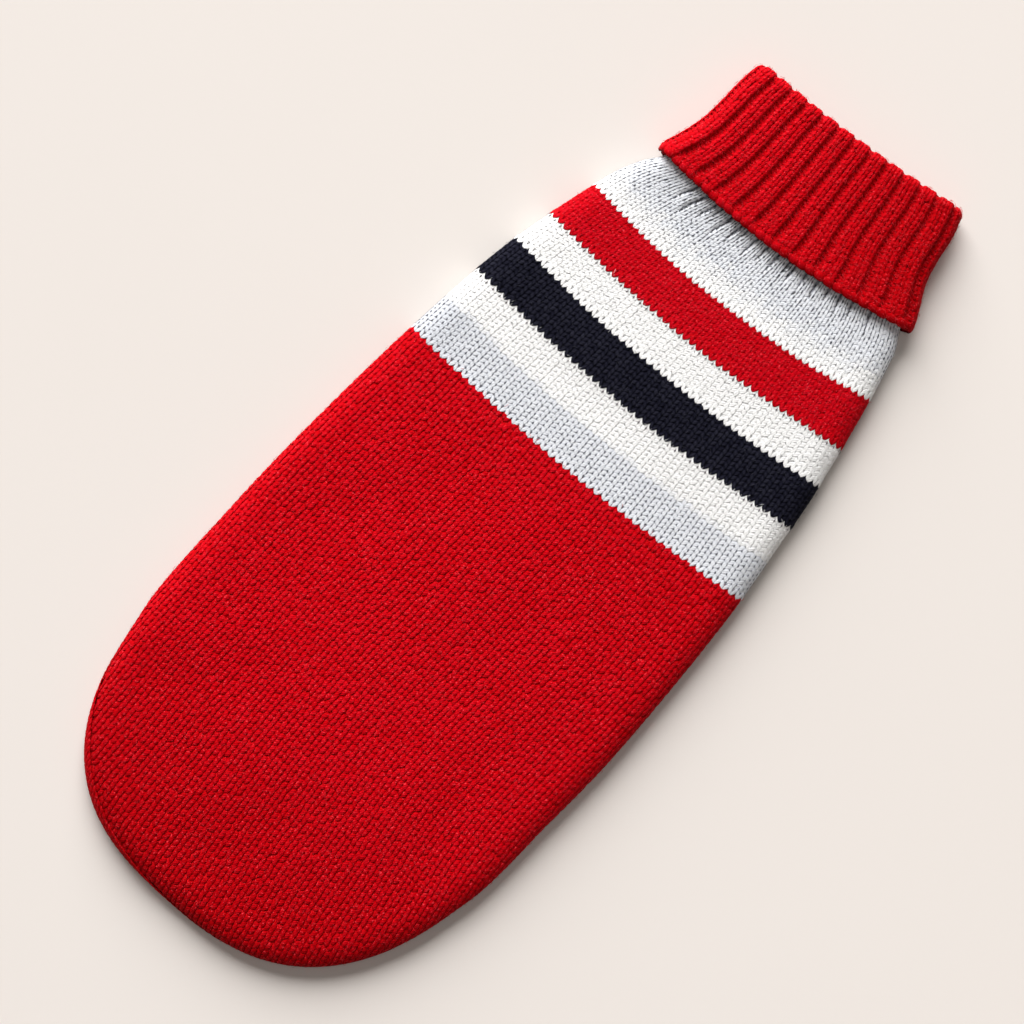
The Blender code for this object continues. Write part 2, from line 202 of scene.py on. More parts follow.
FIRST_ROW_FEET = TOOTH_REACH * -1.4  # a foot that reaches below this belongs to a band's first row
FIRST_ROW_SPREAD = 1.12
TOOTH_RISE = 0.62  # how far, in millimetres, a band's last heads reach past the next band's start
GREY_FADE = (
    # yarn, place along of the fade's middle, its width, 1 where grey lies towards the neck
    ("hip", 55.5, 3.0, 0.0),
    ("neck", 156.5, 16.0, 1.0),
)
KNIT_END = 193.0
LEG_SINK = 0.18  # how deep in the cloth's face the middle line of a leg lies
RIM_FREE = 0.9  # cloth between the last stitch and a rim or seam
WANDER_ACROSS = 0.34  # how far uneven tension moves a stitch
WANDER_ALONG = 0.32
EVEN_FROM = 165.0  # the columns stay closer to their lines from here to the collar
EVEN_LENGTH = 25.0
EVEN_LEAST = 0.2  # share of the unevenness that is left there
LOOSE_ASIDE = 0.014  # how much a leg's two ends vary aside, as a share of a column
LOOSE_CLOSED = 0.05  # and how much more where a stitch is drawn closed
LOOSE_START = 0.05  # how much a leg's start varies along, in rows
LOOSE_END = 0.06
LOOSE_STITCH = 0.012  # how much a whole leg varies aside, in columns
LOOSE_ROW = 0.30  # and along, in rows, where a stitch is drawn closed
LOOSE_SIZE = 0.04  # how much the legs vary in thickness, as a share
LOOSE_LIFT = 0.03  # and in height, in millimetres
FIRST_ROW_THINNER = 0.14
HEM_BAND = 8.6  # cloth taken by the bound edge where it shows from above
HEM_ROLL = (
    # share of the way round the tail from the left, how far the bound edge rolls up into view
    (0.00, 0.0),
    (0.15, 0.0),
    (0.24, 1.0),
    (0.40, 1.0),
    (0.48, 0.45),
    (0.58, 0.10),
    (0.70, 0.0),
    (1.00, 0.0),
)
COLUMN_DRIFT = (
    # along, sideways drift of every column, widening of the columns
    (-275.0, 19.5, 1.16),
    (-245.0, 12.8, 1.12),
    (-215.0, 7.6, 1.08),
    (-190.0, 4.4, 1.05),
    (-165.0, 1.8, 1.02),
    (-140.0, 0.0, 1.00),
    (0.0, 0.0, 1.00),
    (200.0, 0.0, 1.00),
)
TAIL_THINNER = 0.10  # share of its height that the laid tail loses in all
EDGE_THINNER = 0.02  # and towards its lower edge
TAIL_THIN_FROM = -95.0
TAIL_THIN_LENGTH = 120.0
EDGE_THIN_WIDTH = 78.0
EDGE_THIN_SLANT = 0.35  # the lower edge's line, in millimetres down for one across
EDGE_THIN_FROM = 150.0
EDGE_THIN_LENGTH = 90.0
GATHERS = (
    # column edge, length below the collar, depth: tucks where the cloth is drawn into the collar, sunk into
    # the cloth and marked by dashes of painted shadow
    (-15.0, 14.0, 2.4),
    (-13.0, 20.0, 2.8),
    (-11.0, 13.0, 2.4),
    (-10.0, 9.0, 1.8),
    (-8.0, 17.0, 2.6),
    (-6.0, 12.0, 2.4),
    (-5.0, 8.0, 1.6),
    (-3.0, 14.0, 2.5),
    (-1.0, 10.0, 2.2),
    (1.0, 13.0, 2.4),
    (3.0, 9.0, 2.0),
    (4.0, 12.0, 2.4),
    (6.0, 10.0, 2.2),
    (8.0, 13.0, 2.4),
    (10.0, 9.0, 2.0),
    (12.0, 12.0, 2.4),
    (14.0, 9.0, 2.0),
    (17.0, 12.0, 2.2),
)
DASH_HALF = 1.15  # half-length of a dash of painted shade between two columns
GATHER_WIDTH = 0.20  # half-width of a tuck, as a share of a column
GATHER_PUSH = 0.24  # how far the legs beside a tuck part, as a share of a column
CREASE_BEND = 6.0  # how far a crease's line bends aside
CREASE_RIM = 0.55  # height of the soft ridge beside a crease, as a share of its depth
CREASES = (
    # across, along, direction (degrees), length, width, depth: soft hollows in the laid cloth
    (-52.0, -28.0, 78.0, 90.0, 17.0, 0.55),
    (34.0, -60.0, 98.0, 110.0, 21.0, 0.60),
    (72.0, -128.0, 120.0, 76.0, 15.0, 0.65),
    (-66.0, -168.0, 58.0, 70.0, 14.0, 0.60),
    (6.0, -205.0, 84.0, 66.0, 16.0, 0.50),
    (-20.0, 66.0, 12.0, 70.0, 13.0, 0.35),
    (58.0, 52.0, 160.0, 60.0, 12.0, 0.40),
)


# ---- helpers for shape
def table_value(table, place, column):
    """Smooth reading of one column of a table: a cubic through its rows with their mean slopes."""
    rows = np.array(sorted(table), dtype=float)
    knots, values = rows[:, 0], rows[:, column]
    slopes = np.gradient(values, knots)
    place = np.clip(np.asarray(place, dtype=float), knots[0], knots[-1])
    index = np.clip(np.searchsorted(knots, place, side="right") - 1, 0, len(knots) - 2)
    span = knots[index + 1] - knots[index]
    t = (place - knots[index]) / span
    start = (2 * t**3 - 3 * t**2 + 1) * values[index] + (t**3 - 2 * t**2 + t) * span * slopes[index]
    end = (3 * t**2 - 2 * t**3) * values[index + 1] + (t**3 - t**2) * span * slopes[index + 1]
    return start + end


def smooth_step(value):
    """0 below 0, 1 above 1, and a soft ramp between."""
    t = np.clip(value, 0.0, 1.0)
    return t * t * (3 - 2 * t)


def stretches(*parts):
    """Places along stretches end to end, each given as its start, its end and how many."""
    return np.concatenate([np.linspace(*part)[min(k, 1):] for k, part in enumerate(parts)])


def crossed(first, second):
    """Every pair of two lists of places, as two flat arrays."""
    return [part.ravel() for part in np.meshgrid(first, second)]


def outline(along):
    """Left and right edge of the laid body at a place along it."""
    return [table_value(OUTLINE, along, column) for column in (1, 2)]


def pair(first, second):
    """Two arrays side by side as the last axis of one."""
    return np.stack([first, second], axis=-1)


def row_point(along, across):
    """Ground plan of a row of knitting: it leans by a share of across and bows by its square."""
    lean, bow = [table_value(ROW_SHAPE, along, column) for column in (1, 2)]
    return pair(across + 0 * along, along + lean * across + bow * across**2)


def unit(vectors):
    """Vectors scaled to length one."""
    return vectors / np.maximum(np.linalg.norm(vectors, axis=-1, keepdims=True), 1e-9)


def path_length(points):
    """Length of a path from its start to each of its points."""
    return np.concatenate([[0.0], np.cumsum(np.linalg.norm(np.diff(points, axis=0), axis=1))])


def read_path(place, length, values):
    """Pairs of values at places along a path."""
    return np.stack([np.interp(place, length, values[:, k]) for k in (0, 1)], axis=-1)


class Sheet:
    """Cloth in space over its flat cut: a grid of points and normals, read between by straight lines."""

    def __init__(self, across, along, points):
        self.low = np.array([across[0], along[0]])
        self.step = np.array([across[1] - across[0], along[1] - along[0]])
        self.points = points
        sideways, ahead = np.gradient(points, axis=1), np.gradient(points, axis=0)
        self.normals = unit(np.cross(sideways, ahead))

    def read(self, grid, across, along):
        """Value of a grid at a flat place, from the four grid points round it."""
        rows, columns = grid.shape[:2]
        u = np.clip((across - self.low[0]) / self.step[0], 0, columns - 1.001)
        v = np.clip((along - self.low[1]) / self.step[1], 0, rows - 1.001)
        i, j = v.astype(int), u.astype(int)
        fv, fu = v - i, u - j
        if grid.ndim == 3:
            fv, fu = fv[..., None], fu[..., None]
        low = grid[i, j] * (1 - fu) + grid[i, j + 1] * fu
        high = grid[i + 1, j] * (1 - fu) + grid[i + 1, j + 1] * fu
        return low * (1 - fv) + high * fv

    def place(self, across, along, lift):
        """Point in space of a flat place, lifted off the cloth's face along its normal."""
        base = self.read(self.points, across, along)
        normal = unit(self.read(self.normals, across, along))
        return base + normal * np.asarray(lift)[..., None]


# ---- the back's form
def neck_value(along, column):
    """Reading of the neck table, level below its first row."""
    return table_value(NECK_RISE, np.maximum(along, NECK_RISE[0][0]), column)


def fold_profile(along, tuck):
    """Inward and height at every place of SLIDE past the shoulder, and the cloth's whole length.

    From the shoulder the cloth rounds over as a superellipse quarter to its widest line. A tucked
    edge then turns under as an ellipse quarter and lies flat out to the seam, and a free rim
    curls in a little to its own height.
    """
    under, top, width = [float(neck_value(along, column)) for column in (1, 2, 4)]
    fold = FOLD_HEIGHT * (top - under) / NECK_RISE[0][2]
    turn = np.linspace(0.0, math.pi / 2, 15)
    flat = np.linspace(UNDER_WIDTH, FOLD_WIDTH, 12)[:-1]
    tucked = np.column_stack([np.concatenate([flat, FOLD_WIDTH * (1 - np.sin(turn))]),
                              under + np.concatenate([flat * 0, fold * (1 - np.cos(turn))])])
    share = np.linspace(0.0, 1.0, len(tucked))
    rim = np.column_stack([RIM_INSET - (RIM_INSET - WIDEST_INSET) * np.sin(share * math.pi / 2),
                           RIM_HEIGHT + (fold + under - RIM_HEIGHT) * share])
    start = tuck * tucked + (1 - tuck) * rim
    edge, low = start[-1]
    quarter = np.linspace(0.0, math.pi / 2, 24)[1:]
    shoulder = np.column_stack([edge + (width - edge) * (1 - np.cos(quarter) ** (2 / SHOULDER_POWER)),
                                low + (top - low) * np.sin(quarter) ** (2 / SHOULDER_POWER)])
    profile = np.concatenate([start, shoulder])[::-1]
    length = path_length(profile)
    return read_path(SLIDE, length, profile), length[-1]


def tail_edge(angle):
    """Edge point and inward direction of the tail, "angle" round from the left: a superellipse."""
    cosine, sine = np.cos(angle), np.sin(angle)
    power = np.where(cosine > 0, TAIL_POWER_LEFT, TAIL_POWER_RIGHT)
    shape = pair(-np.sign(cosine) * np.abs(cosine) ** (2 / power), -np.abs(sine) ** (2 / power))
    lean = pair(TAIL_LEAN * shape[..., 1] ** 2, 0 * angle)
    inward = np.sign(-shape) * np.abs(shape) ** (power[..., None] - 1) / TAIL_SIZE
    return TAIL_CENTRE + shape * TAIL_SIZE + lean, unit(inward)


def tail_tuck(along):
    """1 where the edge tucks under to the belly, 0 where it ends in a free rim."""
    return smooth_step((along - HEM_START) / (BELLY_END - HEM_START))


def hem_roll(flat):
    """How far the bound edge rolls up into view, 0 to 1, for flat places or edge points of the tail."""
    across, along = np.moveaxis((flat - TAIL_CENTRE) / TAIL_SIZE, -1, 0)
    share = np.arctan2(-along, -across) / math.pi
    return np.where(along < 0, table_value(HEM_ROLL, share, 1), 0.0)


def read_profile(shapes, index, slide):
    """Inward and height of many profiles, each at its own place along the cloth."""
    place = np.clip(slide / SLIDE[1], 0, len(SLIDE) - 1.001)
    low = place.astype(int)
    part = (place - low)[..., None]
    return shapes[index, low] * (1 - part) + shapes[index, low + 1] * part


def nearest_tail_edge(flat):
    """Nearest edge point, its inward direction and the distance inside it, for points by the tail."""
    edges, inwards = tail_edge(TAIL_ANGLES)
    index = np.concatenate([np.argmin(((part[:, None] - edges[None]) ** 2).sum(-1), axis=1)
                            for part in np.array_split(flat, 24)])
    tangent = unit(np.gradient(edges, axis=0))
    slip = ((flat - edges[index]) * tangent[index]).sum(-1)
    other = np.clip(index + np.where(slip > 0, 1, -1), 0, len(edges) - 1)
    gap = np.maximum(np.linalg.norm(edges[other] - edges[index], axis=1), 1e-6)
    part = np.clip(np.abs(slip) / gap, 0, 1)[:, None]
    edge = edges[index] * (1 - part) + edges[other] * part
    inward = unit(inwards[index] * (1 - part) + inwards[other] * part)
    return index, edge, inward, ((flat - edge) * inward).sum(-1)


def thinning(across, along, depth):
    """Share of the height that is left: the tail lies thinner, most of all towards its lower edge."""
    tail = smooth_step((TAIL_THIN_FROM - along) / TAIL_THIN_LENGTH)
    lower = smooth_step((EDGE_THIN_SLANT * across - along - EDGE_THIN_FROM) / EDGE_THIN_LENGTH)
    edge = 1 - smooth_step(depth / EDGE_THIN_WIDTH)
    return 1 - tail * (TAIL_THINNER + EDGE_THINNER * lower * edge)


def gather_reach(along, length):
    """0 where a tuck of this length begins, 1 at the collar."""
    return smooth_step((along - (COLLAR_START - length)) / length)


def hollows(across, along, column):
    """Soft creases of the laid cloth and the tucks below the collar, as a drop in height.

    A crease is a bell across its line that fades to both ends, with a lower ridge beside it. A
    tuck is a narrow bell over its column that is deepest at the collar.
    """
    drop = 0 * across
    for x, y, direction, length, width, depth in CREASES:
        turn = math.radians(direction)
        run = (across - x) * math.cos(turn) + (along - y) * math.sin(turn)
        off = (along - y) * math.cos(turn) - (across - x) * math.sin(turn)
        off = off + CREASE_BEND * np.sin(run / length * 3.0)
        beside = (off - 1.7 * width) / width
        ridge = np.exp(-(off / width) ** 2) - CREASE_RIM * np.exp(-beside ** 2)
        drop = drop + depth * ridge * np.exp(-(run / (0.5 * length)) ** 4)
    for place, length, depth in GATHERS:
        bell = np.exp(-((column - place) / GATHER_WIDTH) ** 2)
        drop = drop + depth * bell * gather_reach(along, length)
    return drop


def column_pitch(along):
    """Width of a stitch column, which narrows with the body, and the middle of its columns."""
    left, right = outline(along)
    widen = table_value(COLUMN_DRIFT, along, 2)
    return (right - left) / COLUMNS_ACROSS * widen, (right + left) / 2 + table_value(COLUMN_DRIFT, along, 1)


def bent(shapes, index, inside, along, width):
    """Reach in from the edge, height, and cloth left before the rim, "inside" millimetres in.

    Past the shoulder of this width the height is a parabola that rises to the crown at the middle.
    """
    profiles, ends = [np.array(part) for part in zip(*shapes)]
    bend = read_profile(profiles, index, width - inside)
    top, crown = neck_value(along, 2), neck_value(along, 3)
    left, right = outline(along)
    half = np.maximum((right - left) / 2, 1)
    share = np.clip((inside - width) / (half - width), 0, 1)
    wide = inside < width
    height = np.where(wide, bend[..., 1], crown - (crown - top) * (1 - share) ** 2)
    return np.where(wide, bend[..., 0], inside), height, ends[index] - (width - inside)


def back_form():
    """The back's outer face as a Sheet over its flat cut, with the cloth left before its rim."""
    across = np.arange(-FLAT_HALF_WIDTH, FLAT_HALF_WIDTH + 0.1, FLAT_STEP)
    along = np.arange(FLAT_START, FLAT_END + 0.1, FLAT_STEP)
    x, y = np.meshgrid(across, along)
    sides = y[:, 0] >= TAIL_CENTRE[1]

    sx, sy = x[sides], y[sides]
    left, right = outline(sy)
    edge = np.where(sx < 0, left, right)
    index = np.broadcast_to(np.arange(len(sx))[:, None], sx.shape)
    shapes = [fold_profile(row, 1.0) for row in along[sides]]
    reach, side_height, side_room = bent(shapes, index, np.abs(edge) - np.abs(sx), sy, neck_value(sy, 4))
    side_plan = row_point(sy, edge - np.where(sx < 0, -1.0, 1.0) * reach)

    flat = pair(x[~sides], y[~sides]).reshape(-1, 2)
    nearest, foot, inward, depth = nearest_tail_edge(flat)
    tucks = tail_tuck(tail_edge(TAIL_ANGLES)[0][:, 1])
    shapes = [fold_profile(TAIL_CENTRE[1], tuck) for tuck in tucks]
    reach, height, tail_room = bent(shapes, nearest, depth, flat[:, 1], SHOULDER_WIDTH)
    plan = np.where(depth[:, None] < SHOULDER_WIDTH, foot + inward * reach[:, None], flat)
    height = height * thinning(flat[:, 0], flat[:, 1], depth)

    points, room = np.zeros((*x.shape, 3)), np.zeros(x.shape)
    points[sides] = np.concatenate([side_plan, side_height[..., None]], axis=-1)
    points[~sides] = np.concatenate([plan, height[:, None]], axis=-1).reshape(*x[~sides].shape, 3)
    room[sides], room[~sides] = side_room, tail_room.reshape(x[~sides].shape)

    pitch, middle = column_pitch(y)
    facing_up = smooth_step((points[..., 2] - HOLLOWS_FROM) / HOLLOWS_FADE)
    points[..., 2] -= facing_up * hollows(x, y, (x - middle) / pitch)
    sheet = Sheet(across, along, points)
    sheet.room = room
    return sheet


# ---- the collar's form
def rib_wave(ribs):
    """1 on a rib, 0 in the purl valley between two ribs, with a fine groove between a rib's columns.

    A rib is a flattened sine arch: "off" is the share of a rib from the nearest valley.
    """
    off = np.abs(ribs - np.round(ribs))
    arch = np.sin(np.clip((off - VALLEY_HALF) / RIB_SLOPE, 0.0, 1.0) * math.pi / 2) ** 0.8
    return arch * (1 - GROOVE_DEPTH * np.exp(-((off - 0.5) / VALLEY_HALF) ** 2))


def rib_depth(run):
    """How deep the valleys between ribs are: shallow at the lower edge and over the fold."""
    low = VALLEYS_BY_LIP + (1 - VALLEYS_BY_LIP) * smooth_step((run - 2.0) / 7.0)
    return low * (1 - VALLEYS_LOST * smooth_step((run - BEND + 4.0) / 7.0))


def collar_point(ribs, run, sink=0.0, rise=RIB_RISE):
    """Point of the collar's face, "ribs" along the ring and "run" up over the fold and down inside.

    The ring is a flat tube with a straight top and bottom and two round sides, and the path up
    the collar is straight, a half turn at the fold, then straight down again inside.
    """
    angle = np.clip((run - BEND) / FOLD_RADIUS, 0, math.pi)
    up = np.where(run < BEND, run, BEND + FOLD_RADIUS * np.sin(angle))
    up = up - np.maximum(run - BEND - FOLD_ARC, 0)
    depth = FOLD_RADIUS * (1 - np.cos(angle)) + sink * np.cos(angle)
    up = up - sink * np.sin(angle) * (run > BEND)
    left_edge, right_edge = [table_value(COLLAR_EDGE, up, column) for column in (1, 2)]
    radius = COLLAR_CROWN / 2 - depth
    low_x = left_edge + depth + RIB_RISE * 0.5 + radius
    high_x = right_edge - depth - RIB_RISE * 0.5 - radius
    first, last = left_edge + FIRST_VALLEY, right_edge - LAST_VALLEY
    straight = first + (last - first) * ribs / RIBS
    past = np.maximum(low_x - straight, 0) + np.maximum(straight - high_x, 0)
    hand = np.where(ribs > RIBS / 2, 1.0, -1.0)
    turn = np.minimum(past / radius, math.pi)
    beyond = np.maximum(past - math.pi * radius, 0)
    x = np.clip(straight, low_x, high_x) + hand * (radius * np.sin(turn) - beyond)
    z = COLLAR_CROWN / 2 + radius * np.cos(turn)
    fade = 1 - smooth_step(past / (2.0 * RIB_PERIOD)) * SIDE_FADE
    fade = fade * np.cos(np.clip(angle * 0.45, 0, math.pi / 2)) * (turn < math.pi)
    lift = rise * (1 - (1 - rib_wave(ribs)) * rib_depth(run)) * fade
    lean = np.cos(angle)
    plan = row_point(COLLAR_START + up + lift * np.sin(angle), x + hand * lift * np.sin(turn) * lean)
    return np.concatenate([plan, (z + lift * np.cos(turn) * lean)[..., None]], axis=-1)


def face_sink(ribs, run, depth=0.0):
    """How far a face lies under the collar's outside: more by its lower edge and in the purl valleys."""
    lip = LIP_ROUND * (1 - smooth_step(run / LIP_LENGTH))
    return depth + lip + VALLEY_SINK * rib_depth(run) * (1 - rib_wave(ribs))


def collar_form():
    """The collar's outer face as a Sheet: across is the rib count in millimetres."""
    ribs = np.linspace(-3.0, RIBS + 3.0, 681)
    run = np.linspace(0.0, PAST_FOLD + 20.0, 190)
    q, w = np.meshgrid(ribs, run)
    return Sheet(ribs * RIB_PERIOD, run, collar_point(q, w, face_sink(q, w)))


# ---- meshes
def grid_faces(rows, columns, start=0, wrap_rows=False, wrap_columns=False):
    """Quads over a rows by columns grid of points numbered row by row, as one array."""
    i = np.arange(rows if wrap_rows else rows - 1)[:, None]
    j = np.arange(columns if wrap_columns else columns - 1)[None]
    ahead, aside = (i + 1) % rows, (j + 1) % columns
    corners = [i * columns + j, i * columns + aside, ahead * columns + aside, ahead * columns + j]
    return start + np.stack(corners, axis=-1).reshape(-1, 4)


def put_object(name, data):
    """An object in the scene, at the origin."""
    item = bpy.data.objects.new(name, data)
    bpy.context.scene.collection.objects.link(item)
    return item


def put_mesh(name, points, corners, sizes, finish, smooth=True):
    """One mesh object from points in millimetres, and its faces' corners one after the other."""
    points, corners = points.reshape(-1, 3), corners.ravel()
    mesh = bpy.data.meshes.new(name)
    mesh.vertices.add(len(points))
    mesh.vertices.foreach_set("co", (points * MM).astype(np.float32).ravel())
    mesh.loops.add(len(corners))
    mesh.loops.foreach_set("vertex_index", corners.astype(np.int32))
    mesh.polygons.add(len(sizes))
    starts = np.concatenate([[0], np.cumsum(sizes)[:-1]]).astype(np.int32)
    mesh.polygons.foreach_set("loop_start", starts)
    mesh.polygons.foreach_set("loop_total", sizes.astype(np.int32))
    mesh.polygons.foreach_set("use_smooth", np.full(len(sizes), smooth))
    mesh.materials.append(finish)
    mesh.update(calc_edges=True)
    mesh.validate()
    return put_object(name, mesh)


def put_map(item, name, values):
    """A UV map from one pair of values for each face corner."""
    layer = item.data.uv_layers.new(name=name)
    layer.data.foreach_set("uv", values.astype(np.float32).ravel())


def put_value(item, name, values, repeats=1):
    """A number on every vertex, each value on so many vertices in a row."""
    attribute = item.data.attributes.new(name, "FLOAT", "POINT")
    attribute.data.foreach_set("value", np.repeat(values, repeats).astype(np.float32))


def put_many(name, points, corners, sizes, finish):
    """Many like forms as one mesh: the points of each, kept off the floor, and the faces of one."""
    count, each = points.shape[:2]
    points[..., 2] = np.maximum(points[..., 2], FLOOR_CLEARANCE)
    corners = corners + (np.arange(count) * each)[:, None]
    return put_mesh(name, points, corners, np.tile(sizes, count), finish)


def tidy_mesh(item, merge=True):
    """Merge doubled points, drop faces with no area and turn every face outwards."""
    shape = bmesh.new()
    shape.from_mesh(item.data)
    if merge:
        bmesh.ops.remove_doubles(shape, verts=shape.verts, dist=0.00002)
        bmesh.ops.dissolve_degenerate(shape, edges=shape.edges, dist=0.00001)
    bmesh.ops.recalc_face_normals(shape, faces=shape.faces)
    shape.to_mesh(item.data)
    shape.free()
    return item


def put_wall(name, points, faces, flat, finish, smooth=True):
    """A closed wall of quads with its flat cut as a map in metres."""
    item = put_mesh(name, points, faces, np.full(len(faces), 4), finish, smooth)
    put_map(item, "cloth", flat[faces] * MM)
    return tidy_mesh(item)


def capped_tube(name, rings, finish, order=1, smooth=True):
    """Rings of points joined into a closed tube with a flat cap at each end."""
    count, sides = rings.shape[:2]
    tube = grid_faces(count, sides, wrap_columns=True).ravel()
    cap = np.arange(sides)
    corners = np.concatenate([tube, cap[::order], (count - 1) * sides + cap[::-order]])
    sizes = np.array([4] * (len(tube) // 4) + [sides] * 2)
    return tidy_mesh(put_mesh(name, rings, corners, sizes, finish, smooth))


# ---- yarn legs
LEG_LEAN = 0.185  # how far a leg leans aside, as a share of a column, at a spread of 1
LEG_SIDES = 5
LEG_RINGS = 4  # full rings of points between the two pointed ends
RING_PLACES = np.array([0.0, 0.13, 0.38, 0.64, 0.87, 1.0])
RING_SIZES = np.array([0.0, 0.48, 1.0, 1.0, 0.74, 0.0])
RING_HEIGHTS = np.array([-0.20, 0.04, 0.14, 0.08, -0.12, -0.40])
SIDE_ANGLES = np.radians([-14.0, 42.0, 90.0, 138.0, 194.0])
CREST_BASE = 0.86  # a ring this far below the cloth's face gets the full painted shade
CELL_MARGIN = 0.06  # free edge round each leg's own square of the baking map


def spindle(sides, rings):
    """Faces of a closed spindle: a point, rings of points and a point again.

    Gives the corners, the faces' sizes, and each corner's side and ring.
    """
    last = 1 + rings * sides
    corners, sizes, places = [], [], []
    for side in range(sides):
        for ring in range(rings + 1):
            face = [(side, ring), (side + 1, ring), (side + 1, ring + 1), (side, ring + 1)]
            if ring == 0:
                del face[1]
            if ring == rings:
                del face[2]
            corners += [min(1 + (r - 1) * sides + s % sides, last) if r else 0 for s, r in face]
            sizes.append(len(face))
            places += face
    return np.array(corners), np.array(sizes), np.array(places)


LEG_CORNERS, LEG_FACE_SIZES, LEG_SIDE_RING = spindle(LEG_SIDES, LEG_RINGS)
LEG_PLACES = np.column_stack([LEG_SIDE_RING[:, 0] / LEG_SIDES, RING_PLACES[LEG_SIDE_RING[:, 1]]])
LEG_POINTS = 2 + LEG_RINGS * LEG_SIDES


def lay_legs(name, sheet, line, radius, lifts, finish, dye=0.0, squash=0.36):
    """Yarn legs as one mesh.

    "line" gives each leg's middle line in flat cloth as legs by rings by two, and "lifts" its
    height off the cloth's face. A leg is a slim closed tube: a ring of points round every place
    on the line, flattened underneath and pointed at both ends. "dye" is how far each leg is
    dyed grey.
    """
    count = len(line)
    ahead = unit(np.gradient(line, axis=1))
    across = pair(ahead[..., 1], -ahead[..., 0])
    size = radius[:, None] * RING_SIZES
    sideways = size[..., None] * np.cos(SIDE_ANGLES)
    flat = line[:, :, None] + across[:, :, None] * sideways[..., None]
    lift = lifts[..., None] + size[..., None] * np.sin(SIDE_ANGLES) * squash
    points = sheet.place(flat[..., 0], flat[..., 1], lift)
    rings = points[:, 1:-1].reshape(count, -1, 3)
    points = np.concatenate([points[:, :1, 0], rings, points[:, -1:, 0]], axis=1)
    item = put_many(name, points, LEG_CORNERS, LEG_FACE_SIZES, finish)

    cells = math.ceil(math.sqrt(count))
    cell = pair(np.arange(count) % cells, np.arange(count) // cells)[:, None]
    put_map(item, "OFBake", (cell + CELL_MARGIN + (1 - 2 * CELL_MARGIN) * LEG_PLACES) / cells)
    length = np.linalg.norm(np.diff(line, axis=1), axis=-1).sum(1)[:, None]
    put_map(item, "yarn", pair(LEG_PLACES[:, 0] + 0 * length, LEG_PLACES[:, 1] * length))
    put_value(item, "tone", rng.normal(0.0, 1.0, (count, 1)), LEG_POINTS)
    put_value(item, "dye", np.broadcast_to(dye, count), LEG_POINTS)
    # crest: highest on a leg's top line, lower down its sides and at its ends; the yarn's painted highlight
    # and painted shade follow it
    ring_top = np.tile(np.sin(SIDE_ANGLES) * 0.5 + 0.5, LEG_RINGS)
    ring_share = np.repeat(np.clip(RING_HEIGHTS[1:-1] + CREST_BASE, 0, 1), LEG_SIDES)
    crest = np.concatenate([[0.0], ring_top * ring_share, [0.0]])
    put_value(item, "crest", np.tile(crest, count))
    return item


SINES = [(rng.uniform(0.02, 0.16), rng.uniform(-0.45, 0.45), rng.uniform(0, 6.3)) for _ in range(9)]


def waver(column, along, across_size, along_size):
    """Slow unevenness of hand-held tension, across and along: each a sum of sines over the cloth."""
    drifts = []
    for sines, size in ((SINES[:4], across_size), (SINES[4:], along_size)):
        total = 0 * column * along
        for rate, across, phase in sines:
            total = total + np.sin(rate * along + across * column + phase)
        drifts.append(size * (total / math.sqrt(len(sines))))
    return drifts


def body_place(column, along):
    """Flat place of a stitch column at a height along the body; the columns part beside a tuck."""
    pitch, middle = column_pitch(along)
    push = 0 * column * along
    for place, length, _ in GATHERS:
        beside = (column - place) / GATHER_WIDTH
        bell = np.exp(-(beside / 4) ** 2)
        push = push + GATHER_PUSH * np.tanh(beside) * bell * gather_reach(along, length)
    ease = smooth_step((EVEN_FROM - along) / EVEN_LENGTH) * (1 - EVEN_LEAST) + EVEN_LEAST
    aside, ahead = waver(column, along, WANDER_ACROSS * ease, WANDER_ALONG)
    return pair((column + push) * pitch + middle + aside, along + ahead)


def stitch_lines(place, stitches, reverse):
    """Middle lines of both legs of every stitch, as legs by rings by two.

    A stitch is a V: its legs start close together, lean apart and meet the next column's legs at
    the top, past the next stitch's foot.
    """
    column, along, height, width, spread, low, high = [part[:, None, None] for part in stitches]
    hand = np.array([-1.0, 1.0])[:, None]
    jitter = rng.normal(0.0, 1.0, (6, len(column), 2, 1))
    closed = np.maximum(1 - spread, 0)
    loose = LOOSE_ASIDE + LOOSE_CLOSED * closed
    foot = 0.25 - LEG_LEAN * spread + loose * jitter[0]
    head = 0.25 + LEG_LEAN * spread + loose * jitter[1]
    aside = hand * (foot + (head - foot) * RING_PLACES) * width
    start = low + LOOSE_START * jitter[2]
    end = high + LOOSE_END * jitter[3]
    rise = (start + (end - start) * RING_PLACES) * height
    if reverse:
        rise = height - rise
    rise = rise + LOOSE_ROW * closed * height * jitter[5]
    flat = place(column + aside + LOOSE_STITCH * jitter[4] * width, along + rise)
    return flat.reshape(-1, len(RING_PLACES), 2)


def knit(name, sheet, place, stitches, finish, thick, roundness, dips, dye=0.0, reverse=False):
    """Stitches of one yarn as one mesh.

    "stitches" holds, for each: column, place along, height, width, spread, foot and head.
    """
    line = stitch_lines(place, stitches, reverse)
    count = len(line)
    first = np.repeat(stitches[5] < FIRST_ROW_FEET, 2)[:, None]
    radius = thick * (1 + LOOSE_SIZE * rng.normal(0, 1, count)) * (1 - FIRST_ROW_THINNER * first[:, 0])
    lifts = dips * RING_HEIGHTS * radius[:, None] + LOOSE_LIFT * rng.normal(0, 1, (count, 1))
    lifts = lifts - LEG_SINK + TOOTH_LIFT * first
    both = np.repeat(np.broadcast_to(dye, count // 2), 2)
    return lay_legs(name, sheet, line, radius, lifts, finish, both, roundness)


def grey_share(yarn, along):
    """How far a leg is dyed grey: a soft step with uneven rows where white runs into grey."""
    for band, middle, width, towards_neck in GREY_FADE:
        if band == yarn:
            rise = smooth_step((along - middle) / width + 0.5 + 0.14 * rng.normal(0, 1, len(along)))
            return rise if towards_neck else 1 - rise
    return 0.0


